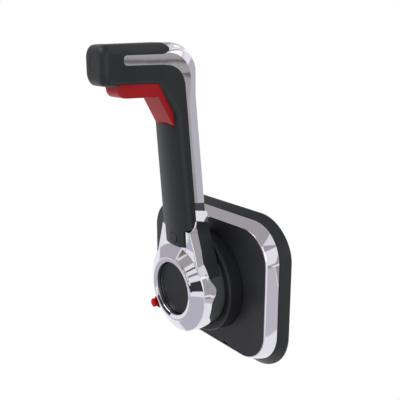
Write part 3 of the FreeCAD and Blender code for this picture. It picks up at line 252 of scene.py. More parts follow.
def softBar(name, outline, half, edge, steps=5):
    # A bar across the lever with rounded edges: towards each side the closed (depth, z) outline
    # moves in on a quarter circle of its own radius at each point, so that
    # x = half - edge + edge * sin(a) where the outline is in by edge * (1 - cos(a))
    edge = edge + np.zeros(len(outline))
    depth, z = outline[:, 0], outline[:, 1]
    along = np.roll(outline, -1, axis=0) - np.roll(outline, 1, axis=0)
    along /= np.linalg.norm(along, axis=1)[:, None]
    area = np.sum(depth * np.roll(z, -1) - np.roll(depth, -1) * z)
    inward = np.column_stack([-along[:, 1], along[:, 0]]) * np.sign(area)
    a = np.linspace(0, math.pi / 2, steps + 1)[:, None]
    x = half - edge + edge * np.sin(a)
    line = outline[None] + inward[None] * (edge * (1 - np.cos(a)))[..., None]
    right = np.concatenate([x[..., None], line], axis=2)
    rings = np.concatenate([right[::-1] * [-1, 1, 1], right])
    return makeMesh(name, rings, tubeFaces(len(rings), len(outline)), 30)


def lathe(name, profile, steps=192, warp=None, sharpAngle=35):
    # A closed (radius, depth) profile turned about the pivot; warp shifts its depths by angle
    angle = np.linspace(0, 2 * math.pi, steps, endpoint=False)[:, None]
    r, d = profile[None, :, 0], profile[None, :, 1] + 0 * angle
    if warp:
        d = warp(angle, r, d)
    points = np.stack([r * np.cos(angle), d, r * np.sin(angle)], axis=-1)
    return makeMesh(name, points, gridFaces(steps, len(profile), True, True), sharpAngle)


def hexColour(code):
    # sRGB hex to linear
    channels = [int(code[k : k + 2], 16) / 255 for k in (1, 3, 5)]
    linear = [c / 12.92 if c <= 0.04045 else ((c + 0.055) / 1.055) ** 2.4 for c in channels]
    return (*linear, 1.0)


def addNode(tree, kind, settings=None, **links):
    # settings: attribute or input name to value; links: input name to an output socket
    node = tree.nodes.new(kind)
    for key, value in (settings or {}).items():
        if hasattr(node, key):
            setattr(node, key, value)
        else:
            node.inputs[key].default_value = value
    for key, socket in links.items():
        tree.links.new(socket, node.inputs[key.replace("_", " ")])
    return node


surface = {  # sizes in millimetres
    "plasticMottle": 30.0,  # slow change of colour and gloss over a moulding
    "plasticGlossSpread": 0.04,
    "grainHeight": 0.02,
    "rippleSize": 14.0,  # of the polished tool, seen in the chrome's mirror
    "rippleHeight": 0.03,
    "rippleStrength": 0.2,
    "metalMottle": 11.0,
    "metalGlossSpread": 0.08,
    "toolMarks": 0.3,  # real ones are finer, and are drawn so that they show
    "toolMarkHeight": 0.01,
}


def newMaterial(name, settings):
    # A plain material, and the object coordinates that its patterns read
    material = bpy.data.materials.new(name)
    material.use_nodes = True
    tree = material.node_tree
    shader = tree.nodes["Principled BSDF"]
    for key, value in settings.items():
        shader.inputs[key].default_value = value
    place = addNode(tree, "ShaderNodeTexCoord").outputs["Object"]
    return material, tree, shader, place


def vary(tree, shader, place, size, dark, light, rough, spread):
    # One slow noise, size millimetres across, mottles the colour and the gloss
    settings = {"Scale": 1 / (size * mm), "Detail": 3.0}
    noise = addNode(tree, "ShaderNodeTexNoise", settings, Vector=place).outputs["Fac"]
    ramp = addNode(tree, "ShaderNodeValToRGB", Fac=noise)
    for element, at, colour in zip(ramp.color_ramp.elements, (0.35, 0.65), (dark, light)):
        element.position = at
        element.color = hexColour(colour)
    tree.links.new(ramp.outputs["Color"], shader.inputs["Base Color"])
    settings = {"To Min": rough - spread, "To Max": rough + spread}
    span = addNode(tree, "ShaderNodeMapRange", settings, Value=noise)
    tree.links.new(span.outputs["Result"], shader.inputs["Roughness"])


def grain(tree, shader, place, size, height, strength=0.5):
    # Relief of the surface: bumps size millimetres across and height millimetres high
    settings = {"Scale": 1 / (size * mm), "Detail": 2.0}
    noise = addNode(tree, "ShaderNodeTexNoise", settings, Vector=place).outputs["Fac"]
    settings = {"Strength": strength, "Distance": height * mm}
    bump = addNode(tree, "ShaderNodeBump", settings, Height=noise)
    tree.links.new(bump.outputs["Normal"], shader.inputs["Normal"])


def mouldedPlastic(name, dark, light, rough, spark=0.6, gloss=0.3):
    # Injection moulded: the spark-eroded tool leaves a fine grain that softens the sheen. Its real
    # grain of about 0.1 mm is drawn spark millimetres wide, so that the picture can show it.
    settings = {"IOR": 1.5, "Specular IOR Level": gloss}
    material, tree, shader, place = newMaterial(name, settings)
    mottle, spread = surface["plasticMottle"], surface["plasticGlossSpread"]
    vary(tree, shader, place, mottle, dark, light, rough, spread)
    grain(tree, shader, place, spark, surface["grainHeight"])
    return material


def platedChrome(name, colour, rough):
    # Decorative chrome over polished plastic: a mirror, with the slow ripple of the polished tool
    settings = {"Metallic": 1.0, "Base Color": hexColour(colour), "Roughness": rough}
    material, tree, shader, place = newMaterial(name, settings)
    size, height = surface["rippleSize"], surface["rippleHeight"]
    grain(tree, shader, place, size, height, surface["rippleStrength"])
    return material


def machinedMetal(name, dark, light, rough, stretch=(1.0, 1.0, 1.0)):
    # Turned, rolled or cast metal: its fine marks, drawn out along the cut, dull the shine
    material, tree, shader, place = newMaterial(name, {"Metallic": 1.0})
    marks = addNode(tree, "ShaderNodeMapping", {"Scale": stretch}, Vector=place).outputs["Vector"]
    mottle, spread = surface["metalMottle"], surface["metalGlossSpread"]
    vary(tree, shader, marks, mottle, dark, light, rough, spread)
    grain(tree, shader, marks, surface["toolMarks"], surface["toolMarkHeight"])
    return material


finish = {
    "gripPlastic": mouldedPlastic("grainedGripNylon", "#181c1f", "#1c2023", 0.42, 0.4, 0.4),
    "basePlastic": mouldedPlastic("glassFilledBaseNylon", "#25292c", "#292d31", 0.4, 0.5),
    "coverPlastic": mouldedPlastic("asaCoverPlate", "#2b2c30", "#2f3034", 0.36, 0.7),
    "turretPlastic": mouldedPlastic("acetalTurret", "#202126", "#24252a", 0.36, 0.7),
    # Lighter than the base plastic of the same parts: painted light, standing in for the light the
    # drum lacks in the shade behind the hub; the spacer shares this colour
    "lightenedDrumPlastic": mouldedPlastic("nylonDrumLightened", "#45484b", "#494c4f", 0.4, 0.5),
    "discPlastic": mouldedPlastic("absHubButton", "#16191d", "#1a1d21", 0.36, 0.9, 0.22),
    "redPlastic": mouldedPlastic("polycarbonateTrigger", "#aa131d", "#b21822", 0.34, 0.8, 0.2),
    "stopPlastic": mouldedPlastic("absStopButton", "#c80204", "#d00406", 0.3, 0.8, 0.12),
    "switchPlastic": mouldedPlastic("pbtSwitchBody", "#17191b", "#1c1e20", 0.42, 0.6),
    "plainAcetal": mouldedPlastic("turnedNaturalAcetal", "#dcd8cc", "#e6e3d8", 0.4, 0.5),
    "brightChrome": platedChrome("decorativeChromePlate", "#dedce5", 0.045),
    "castAluminium": machinedMetal("dieCastAluminium", "#9a9c9e", "#aeb0b2", 0.45),
    "plainSteel": machinedMetal("zincPlatedSteel", "#a4a6a8", "#b8babd", 0.32, (1.0, 0.2, 1.0)),
    "springSteel": machinedMetal("springSteelWire", "#7c7e82", "#929498", 0.3),
    "sinteredBronze": machinedMetal("sinteredBronzeBush", "#8d6a3a", "#a47f48", 0.5),
}
print("materials made")

# The CAD nodes that are not plain steel
nodesOf = {
    "basePlastic": ["base_housing", "mechanism_housing", "rear_hub_shell", "spine_foot_spacer",
                    "stop_switch_body"],
    "gripPlastic": ["front_shell", "arm_plug", "grip_end_plug"],
    "coverPlastic": ["cover_plate"],
    "brightChrome": ["chrome_trim", "hub_shell", "chrome_spine", "spine_foot_cap"],
    "castAluminium": ["lever_core"],
    "sinteredBronze": ["front_bush", "rear_bush", "thrust_washer"],
    "plainAcetal": ["neutral_cam", "friction_pad"],
    "switchPlastic": ["neutral_switch", "stop_switch_nut"],
    "springSteel": ["detent_spring", "stop_spring", "lock_spring", "button_spring",
                    "pin_circlips", "shaft_circlip"],
    "discPlastic": ["throttle_only_button"],
    "redPlastic": ["trigger"],
    "stopPlastic": ["stop_button"],
}
finishOf = {node: finish[key] for key, nodes in nodesOf.items() for node in nodes}
for nodeName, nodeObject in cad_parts.items():
    nodeObject.data.materials.clear()
    nodeObject.data.materials.append(finishOf.get(nodeName, finish["plainSteel"]))
print("CAD nodes finished")

lever = {
    "lean": 0.0865,  # outwards per millimetre up
    "front": 51.0,  # depths of the front and back faces, at the pivot's height
    "back": 30.0,
    "half": [18.9, 17.1, 16.6],  # half width at the heights below
    "halfAt": [30.0, 145.5, 175.8],
    "gripHalf": 14.0,
    "narrowDepth": (50.0, 78.0),  # where it narrows from the arm's width to the grip's
    "narrowZ": (140.0, 160.0),
    "footZ": 30.0,
    "kneeZ": 145.5,  # where the inner corner starts
    "backUpright": 158.0,  # the back leans up to here
    "gripLow": 167.2,
    "gripTop": 197.3,
    "gripFall": 1.5,  # drop of the top from the elbow to the end
    "gripEnd": 122.5,
    "gripStart": 9.0,  # depth from the gusset's end to the grip's first section
    "elbowRadius": 21.5,
    "elbowFrom": 1.25,  # along the lever, where the elbow's arc starts, and how far it goes
    "elbowSpan": 0.6,
    "gussetSlope": 0.627,
    "gussetTo": 1.62,  # along the lever, where the gusset ends
    "wall": 2.6,
    "outerGrid": (300, 132),  # rows and columns of its outer and inner surfaces
    "innerGrid": (120, 66),
    "sharpAngle": 12,  # degrees between faces at which an edge is drawn sharp
    "endEdge": 5.6,
    # The section, each as stops along the lever and the values there
    "sectionHalf": 16.0,
    "cornerIn": ([0.95, 1.4, 2.5, 3.0], [5.0, 4.6, 4.6, 8.5]),
    "cornerOut": ([1.3, 1.95], [1.4, 8.4]),
    "bandIn": ([1.35, 1.95], [2.4, 0.0]),
    "bandHeight": ([1.3, 1.95], [9.0, 8.6]),
    "crown": ([1.0, 1.6], [2.2, 0.0]),
}


def frontAt(z):
    # Depth of the arm's front face at that height, a straight lean
    return lever["front"] + lever["lean"] * z


def backAt(z):
    # Depth of its back face
    return lever["back"] + lever["lean"] * z


elbowZ = lever["gripTop"] - lever["elbowRadius"]
elbowDepth = backAt(lever["backUpright"]) + lever["elbowRadius"]
kneeDepth = frontAt(lever["kneeZ"])
gussetEnd = kneeDepth + lever["gussetSlope"] * (lever["gripLow"] - lever["kneeZ"])
gripStart = gussetEnd + lever["gripStart"]


def leverPath(rows):
    # Two lines carried side by side along the lever: the inner one runs up the front of the arm,
    # up the gusset and out along the grip's underside; the outer one up the back, round the elbow
    # and out along the top. t is 0 at the foot, 1 at the gusset, 2 on the grip and 3 at its end.
    third = rows // 3
    t = np.concatenate([np.linspace(0, 1, third, endpoint=False),
                        np.linspace(1, 2, third, endpoint=False), np.linspace(2, 3, third)])
    start, knee, low, end = (lever[key] for key in ("footZ", "kneeZ", "gripLow", "gripEnd"))
    stops = [0, 1, lever["gussetTo"], 2, 3]
    innerDepth = np.interp(t, stops, [frontAt(start), kneeDepth, gussetEnd, gripStart, end])
    inner = np.stack([innerDepth, np.interp(t, stops, [start, knee, low, low, low])], axis=1)
    radius, arcFrom = lever["elbowRadius"], lever["elbowFrom"]
    arcTo = arcFrom + lever["elbowSpan"]
    arc = np.clip((t - arcFrom) / lever["elbowSpan"], 0, 1) * math.pi / 2
    z = np.interp(t, [0, 1, arcFrom], [start, knee, elbowZ])
    upright = np.minimum(backAt(z), elbowDepth - radius)
    along = np.interp(t, [arcTo, 2, 3], [elbowDepth, gripStart, end])
    depth = np.where(t < arcFrom, upright, elbowDepth - radius * np.cos(arc))
    depth = np.where(t > arcTo, along, depth)
    share = np.clip((along - elbowDepth) / (end - elbowDepth), 0, 1)
    top = np.where(t < arcFrom, z, elbowZ + radius * np.sin(arc)) - lever["gripFall"] * share
    return t, inner, np.stack([depth, top], axis=1)


def halfWidth(depth, z):
    # Tapers up the arm, and narrows to the grip's width from the elbow's back to the gusset's end
    arm = np.interp(z, lever["halfAt"], lever["half"])
    narrow = smoothStep(*lever["narrowDepth"], depth) * smoothStep(*lever["narrowZ"], z)
    return arm + (lever["gripHalf"] - arm) * narrow


def leverSection(t, length, inset, steps):
    # Half of the section at each t, as x across and v from the inner face to the outer one. Each
    # stretch runs with s from 0 to 1: the inner face is a parabola of height crown, the corners
    # are arcs of radius cornerIn and cornerOut, and the side and the leaning band are straight.
    s = np.linspace(0, 1, steps + 1)[None, :]
    half = lever["sectionHalf"] - inset + 0 * t
    cornerIn = blendAt(t, *lever["cornerIn"]) - inset * 0.8
    cornerOut = np.maximum(blendAt(t, *lever["cornerOut"]) - inset * 0.4, 0.7)
    bandIn = blendAt(t, *lever["bandIn"])
    band = np.maximum(blendAt(t, *lever["bandHeight"]) - inset, cornerOut + 0.2)
    crown = blendAt(t, *lever["crown"])
    flat, bandEnd, bandV = half - cornerIn, half - bandIn, length - band
    tilt, turned = np.arctan2(2 * crown, flat), np.arctan2(bandIn, band)
    edgeX, edgeV = flat + cornerIn * np.sin(tilt), cornerIn * (1 - np.cos(tilt))
    arcX = bandEnd - cornerOut + cornerOut * np.cos(turned)
    arcV = length - cornerOut + cornerOut * np.sin(turned)
    a = tilt + (math.pi / 2 - tilt) * s
    b = turned + (math.pi / 2 - turned) * s
    pieces = [
        (edgeX * s, edgeV - crown * (1 - s * s)),
        (flat + cornerIn * np.sin(a), cornerIn * (1 - np.cos(a))),
        (half + 0 * s, cornerIn + (length - band - cornerIn) * s),
        (half + (arcX - half) * s, bandV + (arcV - bandV) * s),
        (bandEnd - cornerOut + cornerOut * np.cos(b), length - cornerOut + cornerOut * np.sin(b)),
        ((bandEnd - cornerOut) * (1 - s), length + 0 * s),
    ]
    last = pieces[-1]
    return [np.concatenate([piece[k][:, :-1] for piece in pieces] + [last[k][:, -1:]], axis=1)
            for k in (0, 1)]


def roundedEnd(x, depth, z, inset):
    # The grip's end: more rows, which shrink towards the section's middle on a quarter circle,
    # and three that fill the flat face inside it
    edge, end = max(lever["endEdge"] - inset, 0.8), lever["gripEnd"] - inset
    low, high = z[-1].min(), z[-1].max()
    middle, tall = (low + high) / 2, (high - low) / 2
    a = np.linspace(0, math.pi / 2, 11)[1:, None]
    shrink = edge * (1 - np.cos(a))
    endX = x[-1] * (1 - shrink / x[-1].max())
    endZ = middle + (z[-1] - middle) * (1 - shrink / tall)
    fill = np.array([0.66, 0.33, 0.02])[:, None]
    arcDepth = end - edge + edge * np.sin(a) + 0 * endX
    depths = [np.minimum(depth, end - edge), arcDepth, end + 0 * endX[:3]]
    return (np.vstack([x, endX, endX[-1] * fill]), np.vstack(depths),
            np.vstack([z, endZ, middle + (endZ[-1] - middle) * fill]))


def leverForm(name, inset, rows, columns):
    # The sections stand between the two lines, set in by inset, and their halves are mirrored
    t, inner, outer = leverPath(rows)
    run = outer - inner
    length = np.linalg.norm(run, axis=1)[:, None]
    way = run / length
    start = inner + way * inset
    x, v = leverSection(t[:, None], length - 2 * inset, inset, columns // 6)
    depth = start[:, :1] + v * way[:, :1]
    z = start[:, 1:] + v * way[:, 1:]
    x = x * (halfWidth(depth, z) - inset) / (lever["sectionHalf"] - inset)
    right = np.stack(roundedEnd(x, depth, z, inset), axis=-1)
    rings = np.concatenate([right, (right * [-1, 1, 1])[:, -2:0:-1]], axis=1)
    return makeMesh(name, rings, tubeFaces(*rings.shape[:2]), lever["sharpAngle"])


bright = {
    "splitDepth": 42.63,  # where the bright spine meets the dark shell, at the pivot's height
    "splitLean": 0.077,
    "bendZ": 167.5,
    "bendCurve": [(1.6, 173.5), (5.4, 178.4), (11.0, 181.0)],  # depth past the bend, and height
    "prongFrom": 18.0,
    "prongEnd": 105.8,
    "prongLow": 181.6,
    "prongHigh": 188.5,
    "noseDepth": 67.2,  # the dark shell's rounded nose on top of the grip
    "noseCurve": [(4.2, 189.0), (-0.6, 193.0), (4.7, 197.4)],  # depth past the nose, and height
    "corners": [0, 16, 12, 12, 14, 10, 2.6, 2.6, 10, 2.4, 6, 0, 0, 0],
}


def splitAt(z):
    # Depth of the split between the spine and the shell, a straight lean too
    return bright["splitDepth"] + bright["splitLean"] * z


def brightOutline():
    # Side outline of what the spine covers: up the arm, round the bend, the prong and the nose.
    # It closes well behind and above the lever.
    b = bright
    low, high, behind = 20.0, 215.0, 15.0
    bend, nose = splitAt(b["bendZ"]), b["noseDepth"]
    points = [(splitAt(low), low), (bend, b["bendZ"])]
    points += [(bend + depth, z) for depth, z in b["bendCurve"]]
    points += [(bend + b["prongFrom"], b["prongLow"]), (b["prongEnd"], b["prongLow"]),
               (b["prongEnd"], b["prongHigh"])]
    points += [(nose + depth, z) for depth, z in b["noseCurve"]]
    points += [(nose + 8.0, high), (behind, high), (behind, low)]
    return roundedLine(points, b["corners"], steps=8)


triggerShape = {
    "half": 12.2,
    "end": 108.2,
    "low": 158.6,
    "bend": 76.2,  # depth where the underside turns down the leg
    "foot": 136.0,
    "hidden": 3.0,  # how far its top stands inside the grip
    "legHalf": 4.2,  # the leg that reaches back to the lock rod
    "leg": [(45.5, 141.2), (66.0, 141.2), (69.5, 149.4), (46.2, 149.4)],
    "corners": [0.5, 5.4, 1.5, 1.1, 0.3, 0.3, 2, 2, 0.5],
    "edge": 1.0,
    "legEdge": 3.0,
    "endEdge": 4.6,
    "hiddenEdge": 0.3,
    "travel": 5.0,
    "gap": 0.45,
    "pocketCorners": [0, 4.8, 1.5, 1.5, 0, 0, 2, 2, 0],
    "window": (40.0, 138.0, 75.0, 158.5),  # what the leg moves in, with its gap at the sides
    "windowGap": 0.4,
}


def triggerOutline(grow=0.0, lift=0.0):
    # Side outline of the trigger, let out by grow, and with its hidden top lifted: the end, the
    # underside, down the leg's front, the foot, and up behind
    t, g = triggerShape, grow
    low, sole, grip = t["low"], t["foot"], lever["gripLow"]
    face = frontAt(sole)
    back = face - 1.6
    top = grip + t["hidden"] + g + lift
    return [(t["end"] + g + lever["lean"] * lift, top), (t["end"] + g, low - g),
            (t["bend"] + g, low - 0.3 - g), (face + 1.35 + g, sole + 1.2 - g),
            (face + 0.45, sole - g), (back - g, sole - g), (back + 0.9 - g, sole + 10.0),
            (back + 14.0 - g, grip - 0.5), (back + 14.6 - g, top)]


def triggerEdges(line):
    # Radius of the side edge at each point: wide round the end in plan, soft down the leg's front,
    # tight underneath and hidden behind
    t, grip = triggerShape, lever["gripLow"]
    depth, z = line[:, 0], line[:, 1]
    edge = t["edge"] + (t["endEdge"] - t["edge"]) * smoothStep(t["end"] - 8, t["end"] - 1.0, depth)
    below = smoothStep(t["low"] + 1.0, t["low"] - 6.0, z)
    aboveFoot = smoothStep(t["foot"] + 1.0, t["foot"] + 6.0, z)
    edge = edge + (t["legEdge"] - t["edge"]) * (below * aboveFoot)
    stops = [t["foot"], t["foot"] + 10.0, grip, grip + 1.0]
    behind = np.interp(z, stops, [62.4, 63.4, 76.6, 200.0])
    return np.where(depth < behind, t["hiddenEdge"], edge)


foot = {
    "tongueHalf": 12.7,
    "tongueLow": 37.2,
    "sideLow": 38.0,
    "hornEdge": [(54.6, 51.6), (51.6, 52.9), (49.2, 55.6), (48.4, 58.4), (48.1, 59.7)],
    "hornRadii": [0, 3, 5, 5, 0],
    "hornGap": (0.15, 0.3),  # from the horn's top edge to the shell, in depth and z
    # The step beside the horns, as (x, z)
    "corner": [(12.9, 40), (12.9, 51.95), (17.2, 52.9), (18.6, 55.0), (30, 56.0), (30, 40)],
    "cornerRadii": [0, 0.5, 2.0, 2.5, 0, 0],
    "skirtBack": 46.2,
    "capLow": 59.8,
    "capHigh": 69.0,
    "capHalf": 16.8,
    "capFlare": 0.12,  # its sides go out by this per millimetre towards the wall
    "capCorners": [0.8, 0.3, 0.3, 0.8],
    "capEdge": 0.25,
    "bandDepth": 47.5,
    "bandSlope": 0.21,  # the cap's and spacer's edges fall by this per millimetre to the wall
    "spineLow": 75.2,
    "seam": 0.05,  # half the gap between spine, spacer and cap
    "plugZ": 44.0,
    "plugRadius": 4.5,
    "plugGap": 0.25,
    "endPlugZ": 182.8,
    "endPlugRadius": 5.0,
}

hornCurve = roundedLine(foot["hornEdge"], foot["hornRadii"], closed=False)
hornCurve = resampled(hornCurve, 30, closed=False)

# The tongue's lower edge is a parabola, lowest in the middle
tongueX = np.linspace(-foot["tongueHalf"], foot["tongueHalf"], 25)
tongueRise = (foot["sideLow"] - foot["tongueLow"]) * (tongueX / foot["tongueHalf"]) ** 2
chinCurve = np.column_stack([tongueX, foot["tongueLow"] + tongueRise])


def footTools():
    # What is cut off the shell's foot: beside the tongue along the horns' tops, the outer corners,
    # and below the tongue along the parabola. The bars end clear of the shell.
    f = foot
    near, far, below, side = 40, 72, 10, 40
    edge = hornCurve + f["hornGap"]
    slant = [(near, below), (far, below), (far, edge[0, 1]), *edge.tolist(), (near, edge[-1, 1])]
    tools = [sideBar("slantRight", slant, f["tongueHalf"], side),
             sideBar("slantLeft", slant, -side, -f["tongueHalf"])]
    corner = roundedLine(f["corner"], f["cornerRadii"], steps=8)
    tools += [outwardBar("corner", corner * [way, 1], near, far) for way in (-1, 1)]
    low, wide = f["sideLow"], 30
    chin = np.vstack([[(-wide, below), (-wide, low)], chinCurve, [(wide, low), (wide, below)]])
    return tools + [outwardBar("chin", chin, 25, far)]


def footSlope(depth, z):
    # Height at that depth of an edge that is at z on the split
    return z - foot["bandSlope"] * (foot["bandDepth"] - depth)


def slopedBand(low, high):
    # A bar across the whole lever between two sloping levels
    near, far, half = 10, 80, 45.0
    line = [(near, footSlope(near, low)), (far, footSlope(far, low)),
            (far, footSlope(far, high)), (near, footSlope(near, high))]
    return crossBar("band", np.array(line), half)


# One hollow form is split into the bright spine and the dark shell
leverSolid = leverForm("leverOuter", 0.0, *lever["outerGrid"])
cutWith(leverSolid, leverForm("leverInner", lever["wall"], *lever["innerGrid"]))
chromeSpine = copyOf(leverSolid, "chromeSpine")
spineBar = crossBar("spineBar", brightOutline(), 40.0)
boolean(chromeSpine, spineBar, "INTERSECT")
frontShell = copyOf(leverSolid, "frontShell")
cutWith(frontShell, spineBar)
removeObject(leverSolid)

# The trigger's pocket, cut at rest, half way and at the end of its travel
travel, gap = triggerShape["travel"], triggerShape["gap"]
pocketLine = roundedLine(triggerOutline(gap, travel), triggerShape["pocketCorners"], steps=8)
for travelled in (0.0, travel / 2, travel):
    moved = pocketLine + [lever["lean"] * travelled, travelled]
    cutWith(frontShell, crossBar("pocket", moved, triggerShape["half"] + gap))
windowHalf = triggerShape["legHalf"] + triggerShape["windowGap"]
cutWith(frontShell, crossBar("window", rectangle(*triggerShape["window"]), windowHalf))
cutWith(frontShell, *footTools())
plugHole = circle(foot["plugRadius"] + foot["plugGap"], 0, foot["plugZ"])
endHole = circle(foot["endPlugRadius"], 0, foot["endPlugZ"])
cutWith(frontShell, outwardBar("plugHole", plugHole, 50.0, 70.0))
cutWith(frontShell, outwardBar("endHole", endHole, 118.0, 130.0))

# The dark spacer keeps the spine's section
spacer = copyOf(chromeSpine, "spacer")
spacerLow, spacerHigh = foot["capHigh"] + 2 * foot["seam"], foot["spineLow"] - 2 * foot["seam"]
useUp(spacer, slopedBand(spacerLow, spacerHigh), "INTERSECT")
shadeSmooth(spacer, lever["sharpAngle"])
finishPiece(spacer, "lever", "dark_plastic", finish["lightenedDrumPlastic"], "spine_foot_spacer")


def footCap():
    # The bright cap below the spacer has sides of its own, which flare towards the wall, and is
    # hollow behind
    f, low, high = foot, foot["capLow"], foot["capHigh"]
    frontLow, frontHigh = splitAt(low) - f["seam"], splitAt(high) - f["seam"]
    line = [(backAt(low), footSlope(backAt(low), low)), (frontLow, low), (frontHigh, high),
            (backAt(high), footSlope(backAt(high), high))]
    line = roundedLine(line, f["capCorners"])
    side = f["capHalf"] + f["capFlare"] * (frontLow - line[:, 0])
    cap = softBar("footCap", line, side, f["capEdge"])
    cutWith(cap, crossBar("capHollow", line + [lever["wall"], 0], f["capHalf"] - lever["wall"]))
    evenNormals(cap)
    return cap


finishPiece(footCap(), "lever", "chrome", finish["brightChrome"], "spine_foot_cap")
cutWith(chromeSpine, slopedBand(0.0, foot["spineLow"]))
for piece in (frontShell, chromeSpine):
    shadeSmooth(piece, lever["sharpAngle"])
finishPiece(frontShell, "lever", "dark_plastic", finish["gripPlastic"], "front_shell")
finishPiece(chromeSpine, "lever", "chrome", finish["brightChrome"], "chrome_spine")
print("lever shells:", len(frontShell.data.polygons), len(chromeSpine.data.polygons))

triggerLine = roundedLine(triggerOutline(), triggerShape["corners"], steps=8)
trigger = softBar("triggerBody", triggerLine, triggerShape["half"], triggerEdges(triggerLine))
useUp(trigger, crossBar("leg", np.array(triggerShape["leg"]), triggerShape["legHalf"]), "UNION")
evenNormals(trigger)
finishPiece(trigger, "trigger", "red_plastic", finish["redPlastic"], "trigger")
print("trigger made")

hub = {
    "coneRadius": 37.1,
    "coneDepth": 53.6,
    "rimRadius": 28.0,
    "rimDepth": 58.4,
    "lip": (-1.9, 1.2),  # the raised rim's inner edge, from its outer one
    "cupCorners": [0.25, 6, 0.9, 0.7, 2.2, 0.7, 0.2, 0.2, 1, 1, 0.5, 0.25],
    "discRadius": 21.8,
    "discDepth": 55.0,
    "discSeat": 2.0,  # how far behind the disc's face its seat is
    "flangeWidth": 1.7,
    "flange": (3.3, 2.6),  # depths of the disc's flange behind its face
    "dish": 0.4,
    "dishWidth": 3.0,
    "discCorners": [0, 0.2, 0.2, 0.2, 0.6, 0.25, 0.25, 0],
    "flare": 1.2,
    "lobe": 4.8,  # height and half angle of the skirt's lobes, and the angle between them
    "lobeHalf": 17.5,
    "lobePitch": 50.0,
    "inner": 36.4,
    "overlap": 0.4,  # how far the horns and the saddle reach into the cone
    "hornInside": 13.0,
    "hornRound": 0.8,
    "hornLine": [(29.5, 14.0), (27.8, 24.7), (23.8, 37.4), (18.4, 51.6), (18.4, 60.0)],
    "hornBends": [0, 20, 24, 30, 0],
    "neckLine": [(33.5, 13.7), (23.9, 37.4), (18.45, 51.6), (18.45, 62.0)],  # from the rear shell
    "neckBends": [0, 60, 30, 0],
    "neckBack": 34.0,
    "slot": (30, 20, 52, 60),  # between the horns, as (depth, z) corners
}


def skirtWave(angle):
    # Five smooth lobes below the hub, each a squared cosine over its half width
    wave = 0 * angle
    for k in range(-2, 3):
        off = (np.degrees(angle) + 90.0 - hub["lobePitch"] * k + 180) % 360 - 180
        turn = np.radians(90 * np.clip(off / hub["lobeHalf"], -1, 1))
        wave = wave + hub["lobe"] * np.cos(turn) ** 2
    return wave


def skirtWarp(angle, r, d):
    # Stretches what lies behind the cone's edge, so that the rear edge follows the lobes
    share = np.clip((hub["coneDepth"] - d) / (hub["coneDepth"] - foot["skirtBack"]), 0, 1)
    return d - share * smoothStep(hub["inner"] - 2.0, hub["inner"] - 0.5, r) * skirtWave(angle)


def hubCup():
    # The skirt, the cone, the raised rim, the bore round the disc with a groove for its flange,
    # and back along the inside
    h, back = hub, foot["skirtBack"]
    r, d, rim, disc = h["coneRadius"], h["coneDepth"], h["rimDepth"], h["discRadius"]
    seat = h["discDepth"] - h["discSeat"]
    profile = [(r + h["flare"] * 0.8, back), (r + h["flare"] * 0.4, back + 3.0), (r, d),
               (h["rimRadius"], rim), (h["rimRadius"] + h["lip"][0], rim + h["lip"][1]),
               (disc + 0.4, rim + 0.1), (disc + 0.3, seat), (disc + 2.4, seat),
               (disc + 3.0, rim - 2.9), (r - 2.4, d - 1.6), (h["inner"], d - 2.4),
               (h["inner"], back)]
    line = roundedLine(profile, h["cupCorners"], steps=8)
    return lathe("hubCup", resampled(line, 160), 360, skirtWarp, 40)


def horn(side):
    # Level sections from the hub up to the horn's slanting top: inner face, front face, rounded
    # outer edge and outer face. The front face leans out with the lever.
    h, back = hub, foot["skirtBack"]
    z = np.concatenate([np.linspace(20.0, hornCurve[0, 1] - 0.05, 40), hornCurve[:, 1]])[:, None]
    curve = roundedLine(h["hornLine"], h["hornBends"], closed=False, steps=12)
    outer = np.interp(z, curve[:, 1], curve[:, 0])
    front = np.interp(z, [h["coneRadius"], *hornCurve[:, 1]],
                      [h["coneDepth"] + 0.1, *hornCurve[:, 0]])
    edge = np.minimum(h["hornRound"], (front - back) / 2)
    small = np.minimum(0.25, edge / 2)
    a = np.linspace(0, math.pi / 2, 6)[None, :]
    inside = h["hornInside"] + 0 * z
    x = np.hstack([inside, inside, h["hornInside"] + small, outer - edge + edge * np.sin(a), outer])
    d = np.hstack([back + 0 * z, front - small, front, front - edge + edge * np.cos(a),
                   back + 0 * z])
    rings = np.stack([x * side, d, z + 0 * x], axis=-1)
    return makeMesh("horn", rings, tubeFaces(*rings.shape[:2]))


def joinToHub(shell, piece):
    # The piece loses what reaches past the cone's edge into the cup, and is joined on
    inside = circle(hub["coneRadius"] - hub["overlap"], 0, 0, 240)
    cutWith(piece, outwardBar("hollow", inside, 40, 60))
    useUp(shell, piece, "UNION")


hubShell = hubCup()
cutWith(hubShell, sideBar("slot", rectangle(*hub["slot"]), -hub["hornInside"], hub["hornInside"]))
for side in (-1, 1):
    joinToHub(hubShell, horn(side))
tongue = foot["tongueHalf"]
saddleLine = np.vstack([chinCurve - [0, 0.3], [(tongue, 28), (-tongue, 28)]])
joinToHub(hubShell, outwardBar("saddle", saddleLine, foot["skirtBack"], hub["coneDepth"] + 0.1))
hubShell.name = "hubShell"
shadeSmooth(hubShell, 24)
finishPiece(hubShell, "lever", "chrome", finish["brightChrome"], "hub_shell")
print("hub shell made:", len(hubShell.data.polygons))

# The dark neck behind the horns follows their outline up to the bright cap
neckCurve = roundedLine(hub["neckLine"], hub["neckBends"], closed=False, steps=12)
neckLine = np.vstack([neckCurve, neckCurve[::-1] * [-1, 1]])
neck = outwardBar("neck", neckLine, hub["neckBack"], foot["skirtBack"] - foot["seam"])
rearShell = mergedCopy("rear_hub_shell", "rearShell")
for piece in (neck, rearShell):
    cutWith(piece, slopedBand(foot["capLow"] - foot["seam"], 120.0))
    shadeSmooth(piece, 30)
finishPiece(neck, "lever", "dark_plastic", finish["basePlastic"])
finishPiece(rearShell, "lever", "dark_plastic", finish["basePlastic"], "rear_hub_shell")
print("neck made")


